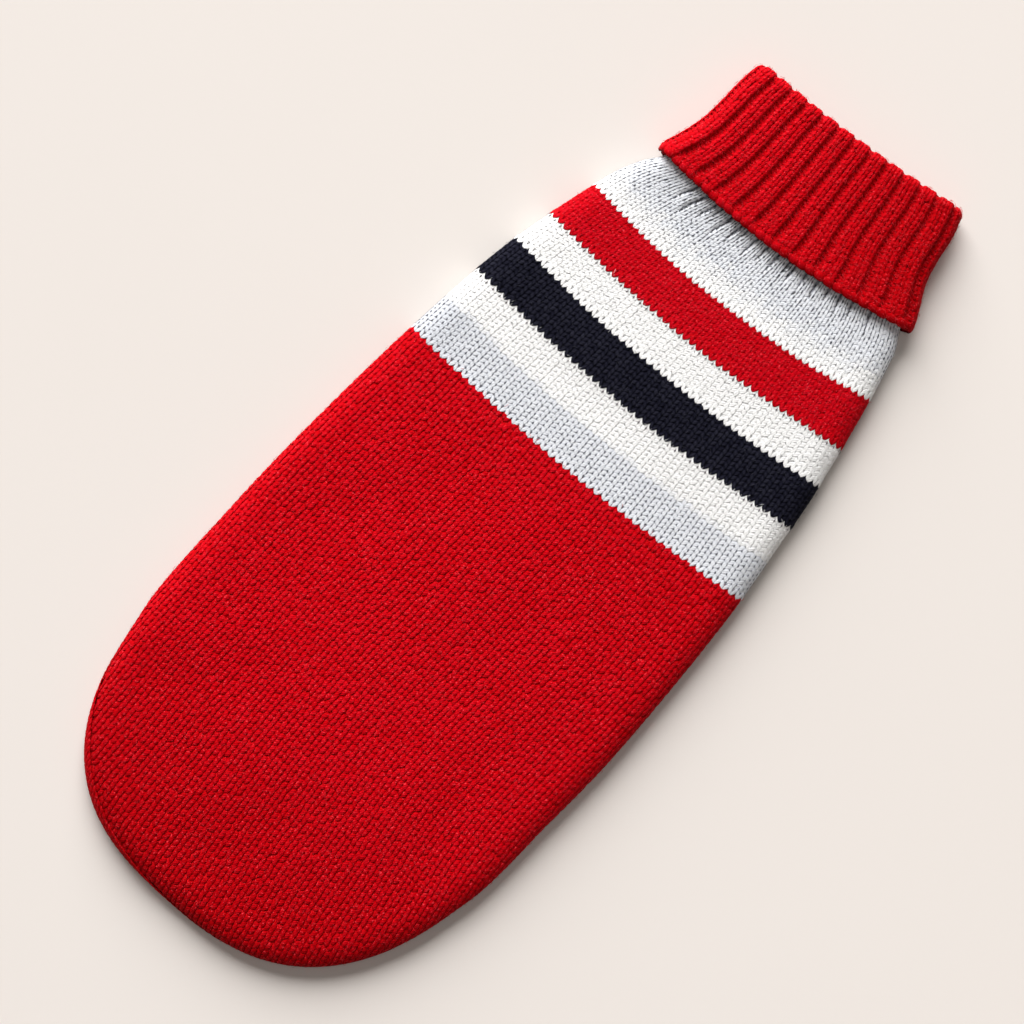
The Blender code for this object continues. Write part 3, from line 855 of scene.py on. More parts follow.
def band_rows(yarn):
    """Rows of one band, evenly divided: place along, height, and reach of the feet and of the heads."""
    names = [band[0] for band in YARN_BANDS]
    place = names.index(yarn)
    _, start, height, _, _, _, _, foot, head = YARN_BANDS[place]
    end = YARN_BANDS[place + 1][1] if place + 1 < len(names) else KNIT_END
    count = round((end - start) / height)
    rows = np.arange(count)
    height = (end - start) / count
    feet = foot - TOOTH_REACH * (rows == 0)
    heads = np.where(rows == count - 1, 1 + TOOTH_RISE / height, head)
    return np.column_stack([start + height * rows, height + 0 * rows, feet, heads])


def back_stitches(sheet, finishes):
    """Every stitch of the back, a mesh for each yarn band, the long red body in parts."""
    made = []
    shapes = {band[0]: band[3:7] for band in YARN_BANDS}
    columns = np.arange(-COLUMNS_CUT, COLUMNS_CUT) + 0.5
    for piece, yarn, low, high in BACK_PIECES:
        spread, thick, roundness, dips = shapes[yarn]
        rows = band_rows(yarn)
        rows = rows[(rows[:, 0] >= low) & (rows[:, 0] < high)]
        c = np.tile(columns, len(rows))
        along, height, feet, heads = np.repeat(rows, len(columns), axis=0).T
        flat = body_place(c, along + height * 0.4)
        rim = RIM_FREE + (HEM_BAND - RIM_FREE) * hem_roll(flat)
        kept = sheet.read(sheet.room, flat[..., 0], flat[..., 1]) > rim
        same = np.ones(kept.sum())
        opened = np.where(feet[kept] < FIRST_ROW_FEET, FIRST_ROW_SPREAD, spread)
        stitches = (c[kept], along[kept], height[kept], same, opened, feet[kept], heads[kept])
        made.append(knit(piece, sheet, body_place, stitches, finishes[yarn], thick, roundness, dips,
                         grey_share(yarn, along[kept])))
    return made


# ---- shells under the stitches
def back_shell(sheet, finish):
    """The closed wall under the stitches, from the rim or seam in to the middle, all round."""
    def distances(width, room, reach):
        """Places in from the edge: along the cloth round the fold, then over the top to the middle."""
        slides, steps = np.linspace(0.0, 1.0, 26), np.linspace(0.0, 1.0, 46)[1:]
        return np.concatenate([width - room * (1 - slides), width + (reach - width) * steps])

    side_rows = stretches((BODY_END, 150.0, 28), (150.0, TAIL_CENTRE[1], 46))
    lines = []
    for hand, edges in zip((-1, 1), outline(side_rows)):
        block = []
        for row, edge in zip(side_rows, edges):
            inside = distances(float(neck_value(row, 4)), fold_profile(row, 1.0)[1], abs(edge))
            block.append(np.column_stack([hand * (abs(edge) - inside), np.full(len(inside), row)]))
        lines.append(block[::-hand])
    angles = np.linspace(0, math.pi, 92)[1:-1]
    edges, inwards = tail_edge(angles)
    tail = []
    for edge, inward in zip(edges, inwards):
        room = fold_profile(TAIL_CENTRE[1], float(tail_tuck(edge[1])))[1]
        centre = TAIL_CENTRE * [0, 1]
        reach = float(np.linalg.norm(centre - edge))
        inside = distances(SHOULDER_WIDTH, room, reach)[:, None]
        turn = smooth_step(inside / reach)
        tail.append((edge + inside * inward) * (1 - turn)
                    + (edge + inside * (centre - edge) / reach) * turn)
    flat = np.array(lines[0] + tail + lines[1])
    count, rows = flat.shape[:2]
    outer, inner = [sheet.place(flat[..., 0], flat[..., 1], np.full((count, rows), -depth))
                    for depth in (STITCH_DEPTH, WALL)]
    shift = count * rows
    seam, end = np.arange(count - 1) * rows, np.arange(rows - 1)
    rims = [np.stack([seam, seam + shift, seam + rows + shift, seam + rows], axis=-1)]
    for rim, order in ((end, 1), (shift - rows + end, -1)):
        rims.append(np.stack([rim, rim + 1, rim + 1 + shift, rim + shift], axis=-1)[:, ::order])
    return closed_wall("back_cloth", outer, inner, flat, rims, finish)


def closed_wall(name, outer, inner, flat, rims, finish, smooth=True):
    """Two faces of cloth joined by the quads of their rims, with doubled points merged."""
    count, rows = outer.shape[:2]
    faces = np.concatenate([grid_faces(count, rows), grid_faces(count, rows, count * rows)[:, ::-1], *rims])
    flat = np.tile(flat.reshape(-1, 2), (2, 1))
    return put_wall(name, np.concatenate([outer, inner]), faces, flat, finish, smooth)


def under_shell(name, low, high, finish):
    """A flat wall of the underside between two places along the body and between both side seams."""
    rows = np.linspace(high, max(low, TAIL_CENTRE[1]), 48)
    inset = UNDER_WIDTH + GAP
    left, right = outline(rows)
    share = np.linspace(0.0, 1.0, 41)
    x = (left + inset)[:, None] * (1 - share) + (right - inset)[:, None] * share
    y = np.broadcast_to(rows[:, None], x.shape)
    plan = row_point(y, x)
    height = np.broadcast_to(neck_value(rows, 1)[:, None], x.shape)
    if low < TAIL_CENTRE[1]:
        angles = TAIL_ANGLES[(TAIL_ANGLES > 0) & (TAIL_ANGLES < math.pi / 2)]
        edges, inwards = tail_edge(angles)
        others, back_inwards = tail_edge(math.pi - angles)
        kept = edges[:, 1] > low
        near, far = (edges + inset * inwards)[kept], (others + inset * back_inwards)[kept]
        lower = near[:, None] * (1 - share[None, :, None]) + far[:, None] * share[None, :, None]
        plan = np.concatenate([plan, lower])
        height = np.concatenate([height, np.zeros(lower.shape[:2])])
    bottom = np.concatenate([plan, height[..., None]], axis=-1)
    count, rows = bottom.shape[:2]
    shift = count * rows
    i, j = np.arange(count - 1) * rows, np.arange(rows - 1)
    sides = ((j, j + 1), (i + rows - 1, i + 2 * rows - 1),
             (shift - rows + j[::-1] + 1, shift - rows + j[::-1]), (i[::-1] + rows, i[::-1]))
    rims = [np.stack([here, after, after + shift, here + shift], axis=-1) for here, after in sides]
    return closed_wall(name, bottom, bottom + [0, 0, WALL], plan, rims, finish, smooth=False)


def cut_leg_openings(item):
    """Both leg openings cut through the chest."""
    for hand in (-1, 1):
        cutter = leg_cutter(hand)
        cut = item.modifiers.new("leg_opening", "BOOLEAN")
        cut.object, cut.solver = cutter, "EXACT"
        hold = item.evaluated_get(bpy.context.evaluated_depsgraph_get())
        mesh = bpy.data.meshes.new_from_object(hold)
        item.modifiers.clear()
        item.data = mesh
        bpy.data.objects.remove(cutter)


def leg_cutter(hand):
    """An upright elliptic block the size of a leg opening."""
    angles = np.linspace(0, 2 * math.pi, 65)[:-1]
    lean = float(table_value(ROW_SHAPE, LEG_CENTRE[1], 1)) * hand * LEG_CENTRE[0]
    x = hand * LEG_CENTRE[0] + LEG_HALF_SIZE[0] * np.cos(angles)
    y = LEG_CENTRE[1] + lean + LEG_HALF_SIZE[1] * np.sin(angles)
    low, high = [np.column_stack([x, y, np.full(len(x), z)]) for z in (-8.0, 10.0)]
    return capped_tube("leg_cutter", np.array([low, high]), None, -1, smooth=False)


def collar_shell(finish):
    """The rib tube under its stitches: up, over the fold, down inside to the seam and back up."""
    seam = BODY_END + GAP - COLLAR_START
    run_down = PAST_FOLD + (BEND - seam)
    outer_run = stretches((1.0, BEND, 32), (BEND, PAST_FOLD, 13), (PAST_FOLD, run_down, 12))
    ribs = stretches((-4.4, -1.5, 18), (-1.5, RIBS + 1.5, 16 * RIBS + 49), (RIBS + 1.5, RIBS + 4.4, 18))
    q, w = np.meshgrid(ribs, outer_run)
    outer = collar_point(q, w, face_sink(q, w, STITCH_DEPTH))
    outer[..., 2] = np.maximum(outer[..., 2], 0.0)
    inner_run = stretches((run_down, PAST_FOLD, 10), (PAST_FOLD, BEND, 9), (BEND, 1.0, 14))
    q2, w2 = np.meshgrid(ribs, inner_run)
    rings = np.concatenate([outer, collar_point(q2, w2, COLLAR_WALL, 0.0)])
    faces = grid_faces(*rings.shape[:2], wrap_rows=True, wrap_columns=True)
    runs = np.concatenate([outer_run, inner_run])
    flat = np.stack(np.meshgrid(ribs * RIB_PERIOD, runs), axis=-1).reshape(-1, 2)
    return put_wall("collar_cloth", rings, faces, flat, finish)


def hem_path(count):
    """Edge points and inward directions of the free tail edge, at even angles round it."""
    edges, inwards = tail_edge(np.linspace(0, math.pi, count))
    kept = edges[:, 1] < HEM_START
    return edges[kept], inwards[kept]


def hem_shell(finish):
    """The bead carried round the tail's edge. It thins and slips under the rim towards its capped ends."""
    section = np.array(HEM_BEAD)
    edges, inwards = hem_path(160)
    order = np.arange(len(edges))
    full = smooth_step(np.minimum(order, order[::-1]) / HEM_TAPER)
    inset = (1 - full)[:, None, None] * HEM_SLIP
    plan = edges[:, None] + inwards[:, None] * (section[None, :, :1] + inset)
    thick = thinning(edges[:, 0], edges[:, 1], 0.0) * (0.35 + 0.65 * full)
    height = section[None, :, 1:] * thick[:, None, None]
    return capped_tube("hem_cloth", np.concatenate([plan, height], axis=-1), finish)


# ---- materials
class Wire:
    """A shader socket that sums, scales and multiplies as a number does."""

    def __init__(self, tree, socket):
        self.tree, self.socket = tree, socket

    def _math(self, operation, *values):
        node = self.tree.nodes.new("ShaderNodeMath")
        node.operation = operation
        for slot, value in zip(node.inputs, values):
            if isinstance(value, Wire):
                self.tree.links.new(value.socket, slot)
            else:
                slot.default_value = value
        return Wire(self.tree, node.outputs[0])

    def __add__(self, other):
        return self._math("ADD", self, other)

    def __sub__(self, other):
        return self._math("SUBTRACT", self, other)

    def __rsub__(self, other):
        return self._math("SUBTRACT", other, self)

    def __mul__(self, other):
        return self._math("MULTIPLY", self, other)

    __radd__, __rmul__ = __add__, __mul__

    def sine(self):
        return self._math("SINE", self)

    def size(self):
        return self._math("ABSOLUTE", self)

    def part(self):
        return self._math("FRACT", self)

    def clipped(self):
        node = self._math("MAXIMUM", self, 0.0)
        return node._math("MINIMUM", node, 1.0)


class Finish:
    """A material whose nodes are added by kind, settings and socket values."""

    def __init__(self, name):
        self.material = bpy.data.materials.new(name)
        self.material.use_nodes = True
        self.tree = self.material.node_tree
        self.shader = self.tree.nodes["Principled BSDF"]

    def fill(self, node, values):
        """Values or links of a node's sockets."""
        for key, value in values.items():
            slot = node.inputs[key]
            if isinstance(value, Wire):
                self.tree.links.new(value.socket, slot)
            else:
                slot.default_value = value

    def add(self, kind, settings, values, out=0):
        """One output of a new node. Its settings, a ramp's stops among them, are set first."""
        node = self.tree.nodes.new("ShaderNode" + kind)
        for key, value in settings.items():
            if key == "stops":
                ramp = node.color_ramp
                while len(ramp.elements) < len(value):
                    ramp.elements.new(0.5)
                for element, (place, colour) in zip(ramp.elements, value):
                    element.position, element.color = place, (*colour, 1.0)
            else:
                setattr(node, key, value)
        self.fill(node, values)
        return Wire(self.tree, node.outputs[out])

    def mix(self, factor, first, second):
        """The first colour where the factor is 0, the second where it is 1."""
        values = {0: factor, 6: first, 7: second}
        values = {k: ((*v, 1.0) if isinstance(v, tuple) and len(v) == 3 else v) for k, v in values.items()}
        return self.add("Mix", {"data_type": "RGBA", "clamp_factor": True}, values, 2)

    def noise(self, place, scale, detail=2.0):
        return self.add("TexNoise", {}, {"Vector": place, "Scale": scale, "Detail": detail})

    def object_place(self):
        return self.add("TexCoord", {}, {}, "Object")

    def axes(self, vector):
        return [self.add("SeparateXYZ", {}, {"Vector": vector}, axis) for axis in (0, 1, 2)]

    def value(self, name):
        return self.add("Attribute", {"attribute_type": "GEOMETRY", "attribute_name": name}, {}, "Fac")

    def flat_place(self, name):
        return self.axes(self.add("UVMap", {"uv_map": name}, {}))[:2]

    def shaded(self, light, shades):
        """Painted shade, main colour and painted highlight of a yarn, mixed by a painted light value for
        its surface.
        """
        deep, main, bright = shades
        colour = self.mix((light * 1.8).clipped(), deep, main)
        return self.mix((light * 1.9 - 0.95).clipped(), colour, bright)

    def set(self, **values):
        """Socket values of the shader, named with _ for a space. Gives the finished material."""
        self.fill(self.shader, {key.replace("_", " "): value for key, value in values.items()})
        return self.material


def yarn_finish(name, shades, grey_shades=None, sheen=0.12, tone_share=0.09, painted_glint=None, painted_falloff=None):
    """Spun yarn: plies twisted round each leg, loose fibres, and a tone of its own on every leg.

    Its colours are painted: highlight along each leg's crest, shade down its sides and low by the floor. A
    glint colour, if given, is painted as small glints on fine spots of fibre. A falloff, if given, is the
    colour of a painted shade that it takes towards the tail and the right side, where that begins across
    the body, and how fast it comes on.
    """
    finish = Finish(name)
    place = finish.object_place()
    side, along, height = finish.axes(place)
    around, length = finish.flat_place("yarn")
    fibre = finish.noise(place, 2600.0, 3.0)
    lumps = finish.noise(place, 420.0, 2.0)
    wash = finish.noise(place, 28.0, 2.0)
    twist = ((around * PLIES + length * PLY_TURNS) * (2 * math.pi)).sine() * 0.5 + 0.5
    crest = finish.value("crest")
    tone = finish.value("tone")
    # painted light: bright along each leg's crest and shaded down its sides and ends, with random tone from
    # fibre noise, lumps, washes and each leg's own tone, and lighter on the plies' twist
    core = crest * crest
    light = (core * core * 0.80 + fibre * 0.70 + lumps * 0.55 + wash * 0.20 - 0.565
             + tone * tone_share + twist * 0.10).clipped()
    colour = finish.shaded(light, shades)
    if grey_shades:
        grey = finish.mix((side * -30.0 - 2.3).clipped(), finish.shaded(light, grey_shades), DEEPER_GREY)
        colour = finish.mix(finish.value("dye"), colour, grey)
    # painted shade: darker towards the tail and towards the right side
    if painted_falloff:
        falloff_shade, start, rate = painted_falloff
        share = ((along * -1.0 - 0.150) * 7.0).clipped() + ((side - start) * rate).clipped()
        colour = finish.mix(share.clipped(), colour, falloff_shade)
    # painted shade low on the sides: below 8 mm off the floor the yarn darkens up to seven tenths of the
    # way towards a third of its deep shade, fully from 4 mm down
    under = tuple(0.3 * part for part in shades[0])
    colour = finish.mix((height * -250.0 + 2.0).clipped() * 0.7, colour, under)
    # painted glints: small pale spots in fine noise, standing in for highlights on the yarn's fibres
    if painted_glint:
        painted_glint_share = (finish.noise(place, 1150.0, 1.0) * 8.0 - 4.9).clipped() * 0.62
        colour = finish.mix(painted_glint_share, colour, painted_glint)
    relief = twist * 0.55 + fibre * 0.75 + lumps * 0.5
    bump = finish.add("Bump", {}, {"Height": relief, "Strength": 0.5, "Distance": 0.0003}, "Normal")
    tint = (*[min(1.0, 1.3 * part) for part in shades[2]], 1.0)
    return finish.set(Base_Color=colour, Roughness=0.94 - fibre * 0.2, Normal=bump, Sheen_Weight=sheen,
                      Sheen_Roughness=0.5, Sheen_Tint=tint, Specular_IOR_Level=0.12, Specular_Tint=tint)


def gap_finish(name, pale, grey=None):
    """Shaded cloth in the gaps between legs, paler between white ones than between grey ones."""
    finish = Finish(name)
    wash = finish.noise(finish.object_place(), 520.0, 2.0)
    colour = finish.mix(finish.value("dye"), pale, grey or pale)
    lighter = finish.mix(0.25, colour, (0.85, 0.86, 0.88))
    return finish.set(Base_Color=finish.mix((wash * 2.4 - 0.9).clipped(), colour, lighter),
                      Roughness=0.95 - wash * 0.1, Specular_IOR_Level=0.05)


PLIES = 3.0
PLY_TURNS = 0.62  # turns of the plies in a millimetre of leg
# RED_BEHIND is paler than the red yarn: painted light in the gaps between the red legs
RED_BEHIND = (0.66, 0.0020, 0.0060)
WHITE_BEHIND = (0.84, 0.84, 0.84)
GREY_BEHIND = (0.34, 0.35, 0.40)
NAVY_BEHIND = (0.006, 0.006, 0.011)
COLOURS_BEHIND = (
    # along, colour of the cloth behind the stitches; it blends from row to row of this table
    (-300.0, RED_BEHIND),
    (34.9, RED_BEHIND),
    (35.3, GREY_BEHIND),
    (53.0, GREY_BEHIND),
    (58.0, WHITE_BEHIND),
    (74.9, WHITE_BEHIND),
    (75.3, NAVY_BEHIND),
    (101.6, NAVY_BEHIND),
    (102.0, WHITE_BEHIND),
    (120.8, WHITE_BEHIND),
    (121.2, RED_BEHIND),
    (147.9, RED_BEHIND),
    (148.3, WHITE_BEHIND),
    (164.0, GREY_BEHIND),
)


def fibre_finish(name, root, painted_glint_colour):
    """Loose fibre: drier than the yarn it comes from, and paler as a painted glint."""
    finish = Finish(name)
    wash = finish.noise(finish.object_place(), 700.0, 2.0)
    return finish.set(Base_Color=finish.mix(wash, root, painted_glint_colour), Roughness=0.80 + wash * 0.1,
                      Specular_IOR_Level=0.10)


def knit_ground_finish(name, striped):
    """The cloth behind the stitches: rows of flat Vs as relief, coloured in its bands, or plain red with
    painted shade off the Vs' ridges.
    """
    finish = Finish(name)
    u, v = finish.flat_place("cloth")
    place = finish.object_place()
    column_width, row_height = 0.00509, 0.0034
    bend = (((u * (1 / column_width)).part() - 0.5).size() - 0.25).size()
    row = (v * (1 / row_height) - bend * 2.2).part() - 0.5
    ridge = (bend * -4.0 + 1.0).clipped() * (row.size() * -1.1 + 1.0)
    fibre = finish.noise(place, 1800.0, 3.0)
    if striped:
        start, length = -300.0, 500.0
        stops = [((along - start) / length, colour) for along, colour in COLOURS_BEHIND]
        colour = finish.add("ValToRGB", {"stops": stops}, {0: (v * 1000 - start) * (1 / length)}, "Color")
    else:
        # painted shade: the plain red darkens off the ridges of the Vs
        dark = ((1 - ridge) * 0.42 + fibre * 0.22).clipped()
        wash = finish.noise(place, 60.0, 2.0)
        colour = finish.mix(wash, (0.50, 0.0022, 0.0060), (0.42, 0.0018, 0.0050))
        colour = finish.mix(dark, colour, (0.24, 0.002, 0.004))
    height = ridge + fibre * 0.3
    bump = finish.add("Bump", {}, {"Height": height, "Strength": 0.9, "Distance": 0.0012}, "Normal")
    return finish.set(Base_Color=colour, Roughness=0.95 - fibre * 0.15, Normal=bump, Specular_IOR_Level=0.1)


def floor_finish():
    """A pale matt surface with the faintest unevenness."""
    finish = Finish("pale_surface")
    wash = finish.noise(finish.object_place(), 3.0, 3.0)
    colour = finish.mix(wash, (0.79, 0.737, 0.70), (0.81, 0.757, 0.72))
    return finish.set(Base_Color=colour, Roughness=0.9 - wash * 0.05, Specular_IOR_Level=0.2)


# ---- the pieces
# each yarn's colours: painted shade, main colour, painted highlight
RED = ((0.41, 0.0010, 0.0030), (0.485, 0.0012, 0.0042), (0.60, 0.0040, 0.0120))
RED_PAINTED_GLINT = (0.84, 0.055, 0.075)
DEEPER_GREY = (0.57, 0.59, 0.64)
# painted shade towards the tail and the right side: its colour, where it begins across the body in metres,
# and how fast it comes on
RIB_PAINTED_FALLOFF = ((0.36, 0.0010, 0.0028), -0.050, 7.0)
BODY_PAINTED_FALLOFF = ((0.35, 0.0010, 0.0028), -0.010, 1.6)
RIB_RED = ((0.39, 0.0010, 0.0028), (0.475, 0.0012, 0.0040), (0.62, 0.0040, 0.0120))
STRIPE_RED = ((0.39, 0.0010, 0.0035), (0.45, 0.0013, 0.0050), (0.56, 0.0040, 0.0130))
WHITE = ((0.80, 0.80, 0.80), (0.875, 0.87, 0.865), (0.93, 0.93, 0.925))
GREY = ((0.51, 0.53, 0.58), (0.69, 0.71, 0.76), (0.81, 0.825, 0.86))
NAVY = ((0.004, 0.004, 0.008), (0.008, 0.008, 0.015), (0.020, 0.020, 0.031))
red_yarn = yarn_finish("red_yarn", RED, sheen=0.06, painted_glint=RED_PAINTED_GLINT, painted_falloff=BODY_PAINTED_FALLOFF)
stripe_red = yarn_finish("stripe_red_yarn", STRIPE_RED, sheen=0.06, painted_glint=RED_PAINTED_GLINT, painted_falloff=BODY_PAINTED_FALLOFF)
rib_yarn = yarn_finish("rib_red_yarn", RIB_RED, sheen=0.06, painted_glint=RED_PAINTED_GLINT, painted_falloff=RIB_PAINTED_FALLOFF)
white_yarn = yarn_finish("white_yarn", WHITE, GREY, tone_share=0.05)
navy_yarn = yarn_finish("navy_yarn", NAVY, sheen=0.06)
gap_shade = gap_finish("gap_shade", (0.60, 0.60, 0.60), (0.11, 0.12, 0.145))
tuck_shade = gap_finish("tuck_shade", (0.045, 0.047, 0.058))
tick_shade = gap_finish("tick_shade", (0.14, 0.12, 0.13))
red_fibre = fibre_finish("red_fibre", (0.56, 0.0040, 0.0100), (0.82, 0.055, 0.070))
light_fibre = fibre_finish("light_fibre", (0.80, 0.80, 0.80), (0.95, 0.95, 0.94))
navy_fibre = fibre_finish("navy_fibre", (0.020, 0.020, 0.032), (0.07, 0.07, 0.09))
back_ground = knit_ground_finish("back_ground", True)
red_ground = knit_ground_finish("red_ground", False)

back = back_form()
collar = collar_form()

back_cloth = back_shell(back, back_ground)
chest_cloth = under_shell("chest_cloth", CHEST_END + GAP / 2, BODY_END, red_ground)
cut_leg_openings(chest_cloth)
belly_cloth = under_shell("belly_cloth", BELLY_END, CHEST_END - GAP / 2, red_ground)
collar_cloth = collar_shell(red_ground)
hem_cloth = hem_shell(red_ground)

yarns = {"red_body": red_yarn, "hip": white_yarn, "navy": navy_yarn, "white": white_yarn,
         "red_stripe": stripe_red, "neck": white_yarn}


def lay_flecks(name, column, along, half_length, half_width, lift, finish, dye=0.0):
    """Small flat lozenges of shade in the gaps between legs: eight faces each, along the column."""
    count = len(column)
    ahead, aside = np.array([-1, 1, 0, 0, 0, 0]), np.array([0, 0, -1, 1, 0, 0])
    upward = np.array([0, 0, 0, 0, 0.10, -0.10])
    flat = body_place(column[:, None], along[:, None] + half_length[:, None] * ahead)
    flat[..., 0] += half_width[:, None] * aside
    points = back.place(flat[..., 0], flat[..., 1], lift[:, None] + upward)
    round_it = (0, 2, 1, 3, 0)
    upper = [(a, b, 4) for a, b in zip(round_it, round_it[1:])]
    lower = [(b, a, 5) for a, b in zip(round_it, round_it[1:])]
    corners = np.array(upper + lower).ravel()
    item = tidy_mesh(put_many(name, points, corners, np.full(8, 3), finish), merge=False)
    put_value(item, "dye", np.broadcast_to(dye, count), 6)
    return item


def pale_gaps():
    """Shade in every gap of the pale bands: between a stitch's own legs and between two stitches.

    The gap between a stitch's legs opens under the next foot, the gap between neighbouring
    stitches above the heads of the row before. Gaps show darker in grey yarn than in white,
    and they close towards the folds and the tail edge.
    """
    columns, alongs, shares = [], [], []
    for yarn in ("hip", "white", "neck"):
        rows = band_rows(yarn)
        for share, first in ((0.62, -COLUMNS_CUT + 0.5), (0.20, -COLUMNS_CUT)):
            c, a = crossed(np.arange(first, COLUMNS_CUT), rows[:, 0] + share * rows[:, 1])
            columns.append(c)
            alongs.append(a)
            shares.append(grey_share(yarn, a) + 0 * a)
    column, along, grey = [np.concatenate(part) for part in (columns, alongs, shares)]
    flat = body_place(column, along)
    room = back.read(back.room, flat[:, 0], flat[:, 1])
    kept = room > 3.0
    column, along, grey = column[kept], along[kept], grey[kept]
    open_share = 0.50 + 0.50 * smooth_step((room[kept] - 5.0) / 20.0)
    jitter = rng.normal(0, 1, (4, len(column)))
    drawn = smooth_step((along - 150.0) / 30.0)
    half_length = (0.50 + 0.36 * grey + 0.65 * drawn) * (1 + 0.22 * jitter[0])
    uneven = np.clip(1 + (0.28 + 0.40 * drawn) * jitter[1], 0.12, 2)
    half_width = (0.21 + 0.09 * grey - 0.08 * drawn) * uneven * open_share
    return lay_flecks("pale_knit_gaps", column + 0.02 * jitter[3], along, half_length, half_width,
                      0.06 + 0.03 * jitter[2], gap_shade, grey)


def neck_tuck_shadows():
    """Painted shadow: dark dashes where the cloth is drawn into the collar, one to a row, fattest at the
    collar.

    Grooves between the tucks have short runs of finer dashes of painted shadow.
    """
    runs = [(k / 2, rng.uniform(1.0, 16.0), 0.21) for k in range(-38, 39)]
    runs += [(place, length * rng.uniform(0.8, 1.3), 0.40) for place, length, _ in GATHERS]
    lines = []
    for place, length, size in runs:
        rows = np.arange(COLLAR_START + 3.0, COLLAR_START - length, -2.75) + (place % 1) * 1.3
        lines.append(np.column_stack([np.full(len(rows), place), rows, np.full(len(rows), size)]))
    column, along, size = np.concatenate(lines).T
    jitter = rng.normal(0, 1, (3, len(column)))
    drawn = 0.5 + 0.5 * smooth_step((along - 160.0) / 20.0)
    width = np.maximum(size * (1 + 0.3 * jitter[0]), 0.1) * drawn
    return lay_flecks("neck_tuck_shadows", column + 0.06 * jitter[2], along, DASH_HALF + 0.25 * jitter[1], width,
                      np.full(len(column), 0.10), tuck_shade)


def stripe_ticks():
    """Painted shade in the small gaps between neighbouring heads under the last row of a pale band."""
    places, along = crossed(np.arange(-24.0, 25.0), [74.7, 120.4])
    jitter = rng.normal(0, 1, (2, len(places)))
    return lay_flecks("stripe_ticks", places, along, DASH_HALF + 0.15 * jitter[0], 0.34 + 0.05 * jitter[1],
                      np.full(len(places), 0.20), tick_shade)


back_knit = back_stitches(back, yarns)
back_knit += [pale_gaps(), neck_tuck_shadows(), stripe_ticks()]


def collar_place(ribs, run):
    """Flat place on the collar: ribs count becomes millimetres, and a rib narrows to the lower edge."""
    middle = np.floor(ribs) + 0.5
    ribs = middle + (ribs - middle) * (1 - RIB_NARROWING * (1 - smooth_step((run - 8.0) / 34.0)))
    aside, ahead = waver(ribs * 2, run, 0.25, 0.3)
    return pair(ribs * RIB_PERIOD + aside, run + ahead)


def rib_stitches():
    """Two knit columns on every rib, upside down because the collar is turned down."""
    middles = np.arange(-2, RIBS + 2) + 0.5
    columns = np.sort(np.concatenate([middles - RIB_COLUMN / 2, middles + RIB_COLUMN / 2]))
    courses = np.arange(2.6, BEND + FOLD_ARC * 0.95, COURSE)
    q, w = crossed(columns, courses)
    same = np.ones(len(q))
    stitches = (q, w, COURSE * same, RIB_COLUMN * same, 0.54 * same, -0.48 * same, 1.28 * same)
    return knit("collar_rib_knit", collar, collar_place, stitches, rib_yarn, 1.20, 0.22, 0.34, reverse=True)


def single_legs(name, ribs, run, reach, climb, radius, heights, squash, uneven, jitter):
    """Legs laid one by one on the collar: each reaches this far round it and climbs this far on the way."""
    half_way = RING_PLACES - 0.5
    line = np.stack([ribs[:, None] * RIB_PERIOD + half_way * reach + uneven[0] * jitter[0],
                     run[:, None] + half_way * climb + 0.10 * jitter[1]], axis=-1)
    radius = radius * (1 + uneven[1] * jitter[2][:, 0])
    return lay_legs(name, collar, line, radius, heights, rib_yarn, squash=squash)


def purl_bars():
    """Short slanted bars across each valley between ribs, two to a course, close as a zigzag."""
    valleys = np.arange(-2, RIBS + 3).astype(float)
    rows = np.arange(3.4, BEND + FOLD_ARC * 0.9, COURSE / 2)
    q, w = crossed(valleys, rows)
    count = len(q)
    climb = np.where(np.arange(count) // len(valleys) % 2 == 0, 1.3, -1.3)[:, None]
    jitter = rng.normal(0, 1, (3, count, 1))
    heights = np.broadcast_to(np.array([-0.05, 0.0, 0.0, 0.0, 0.0, -0.05]) - 0.26, (count, 6))
    return single_legs("collar_purl_valleys", q, w, 3.8, climb, 0.84, heights, 0.26, (0.12, 0.06), jitter)


def collar_lip():
    """The cast-off edge: fat loops end to end along the collar's lower edge, like a soft cord."""
    places = np.arange(-2.4, RIBS + 1.6, 0.40)
    jitter = rng.normal(0, 1, (4, len(places), 1))
    heights = np.array([-0.35, 0.0, 0.12, 0.10, -0.05, -0.40]) + 0.06 * jitter[3]
    run = np.full(len(places), 2.35)
    return single_legs("collar_cast_off", places, run, 6.8, -1.1, 2.25, heights, 0.27, (0.25, 0.05), jitter)


def hem_binding():
    """The bound edge: rows of long legs laid along the free rim of the tail, close like a cord.

    A row keeps one distance of cloth past the shoulder, and each leg slants a little inwards.
    """
    edges, inwards = hem_path(900)
    length = path_length(edges)
    slides = np.arange(14.6, HEM_TUCKED + 1.0, 1.62)
    places = np.arange(3.0, length[-1] - 3.0, HEM_LEG_STEP)
    slide, run = [part[:, None] for part in crossed(slides, places)]
    half_way = RING_PLACES - 0.5
    jitter = rng.normal(0, 1, (3, len(run), 1))
    run = run + (slide * 1.7) % HEM_LEG_STEP + half_way * 6.2 + 0.2 * jitter[0]
    slide = slide + half_way * 1.3 + 0.10 * jitter[1]
    edge, inward = read_path(run, length, edges), unit(read_path(run, length, inwards))
    slide = slide + (1 - hem_roll(edge)) * np.maximum(HEM_TUCKED - slide, 0)
    line = edge + inward * (SHOULDER_WIDTH - slide)[..., None]
    radius = 1.08 * (1 + 0.05 * jitter[2][:, 0])
    lifts = np.array([-0.30, 0.05, 0.20, 0.15, -0.05, -0.35]) + 0.05 + 0.6 * hem_roll(edge)
    return lay_legs("hem_binding", back, line, radius, lifts, red_yarn), length[-1]


collar_knit = rib_stitches()
collar_purl = purl_bars()
collar_edge = collar_lip()
hem_loops, hem_length = hem_binding()


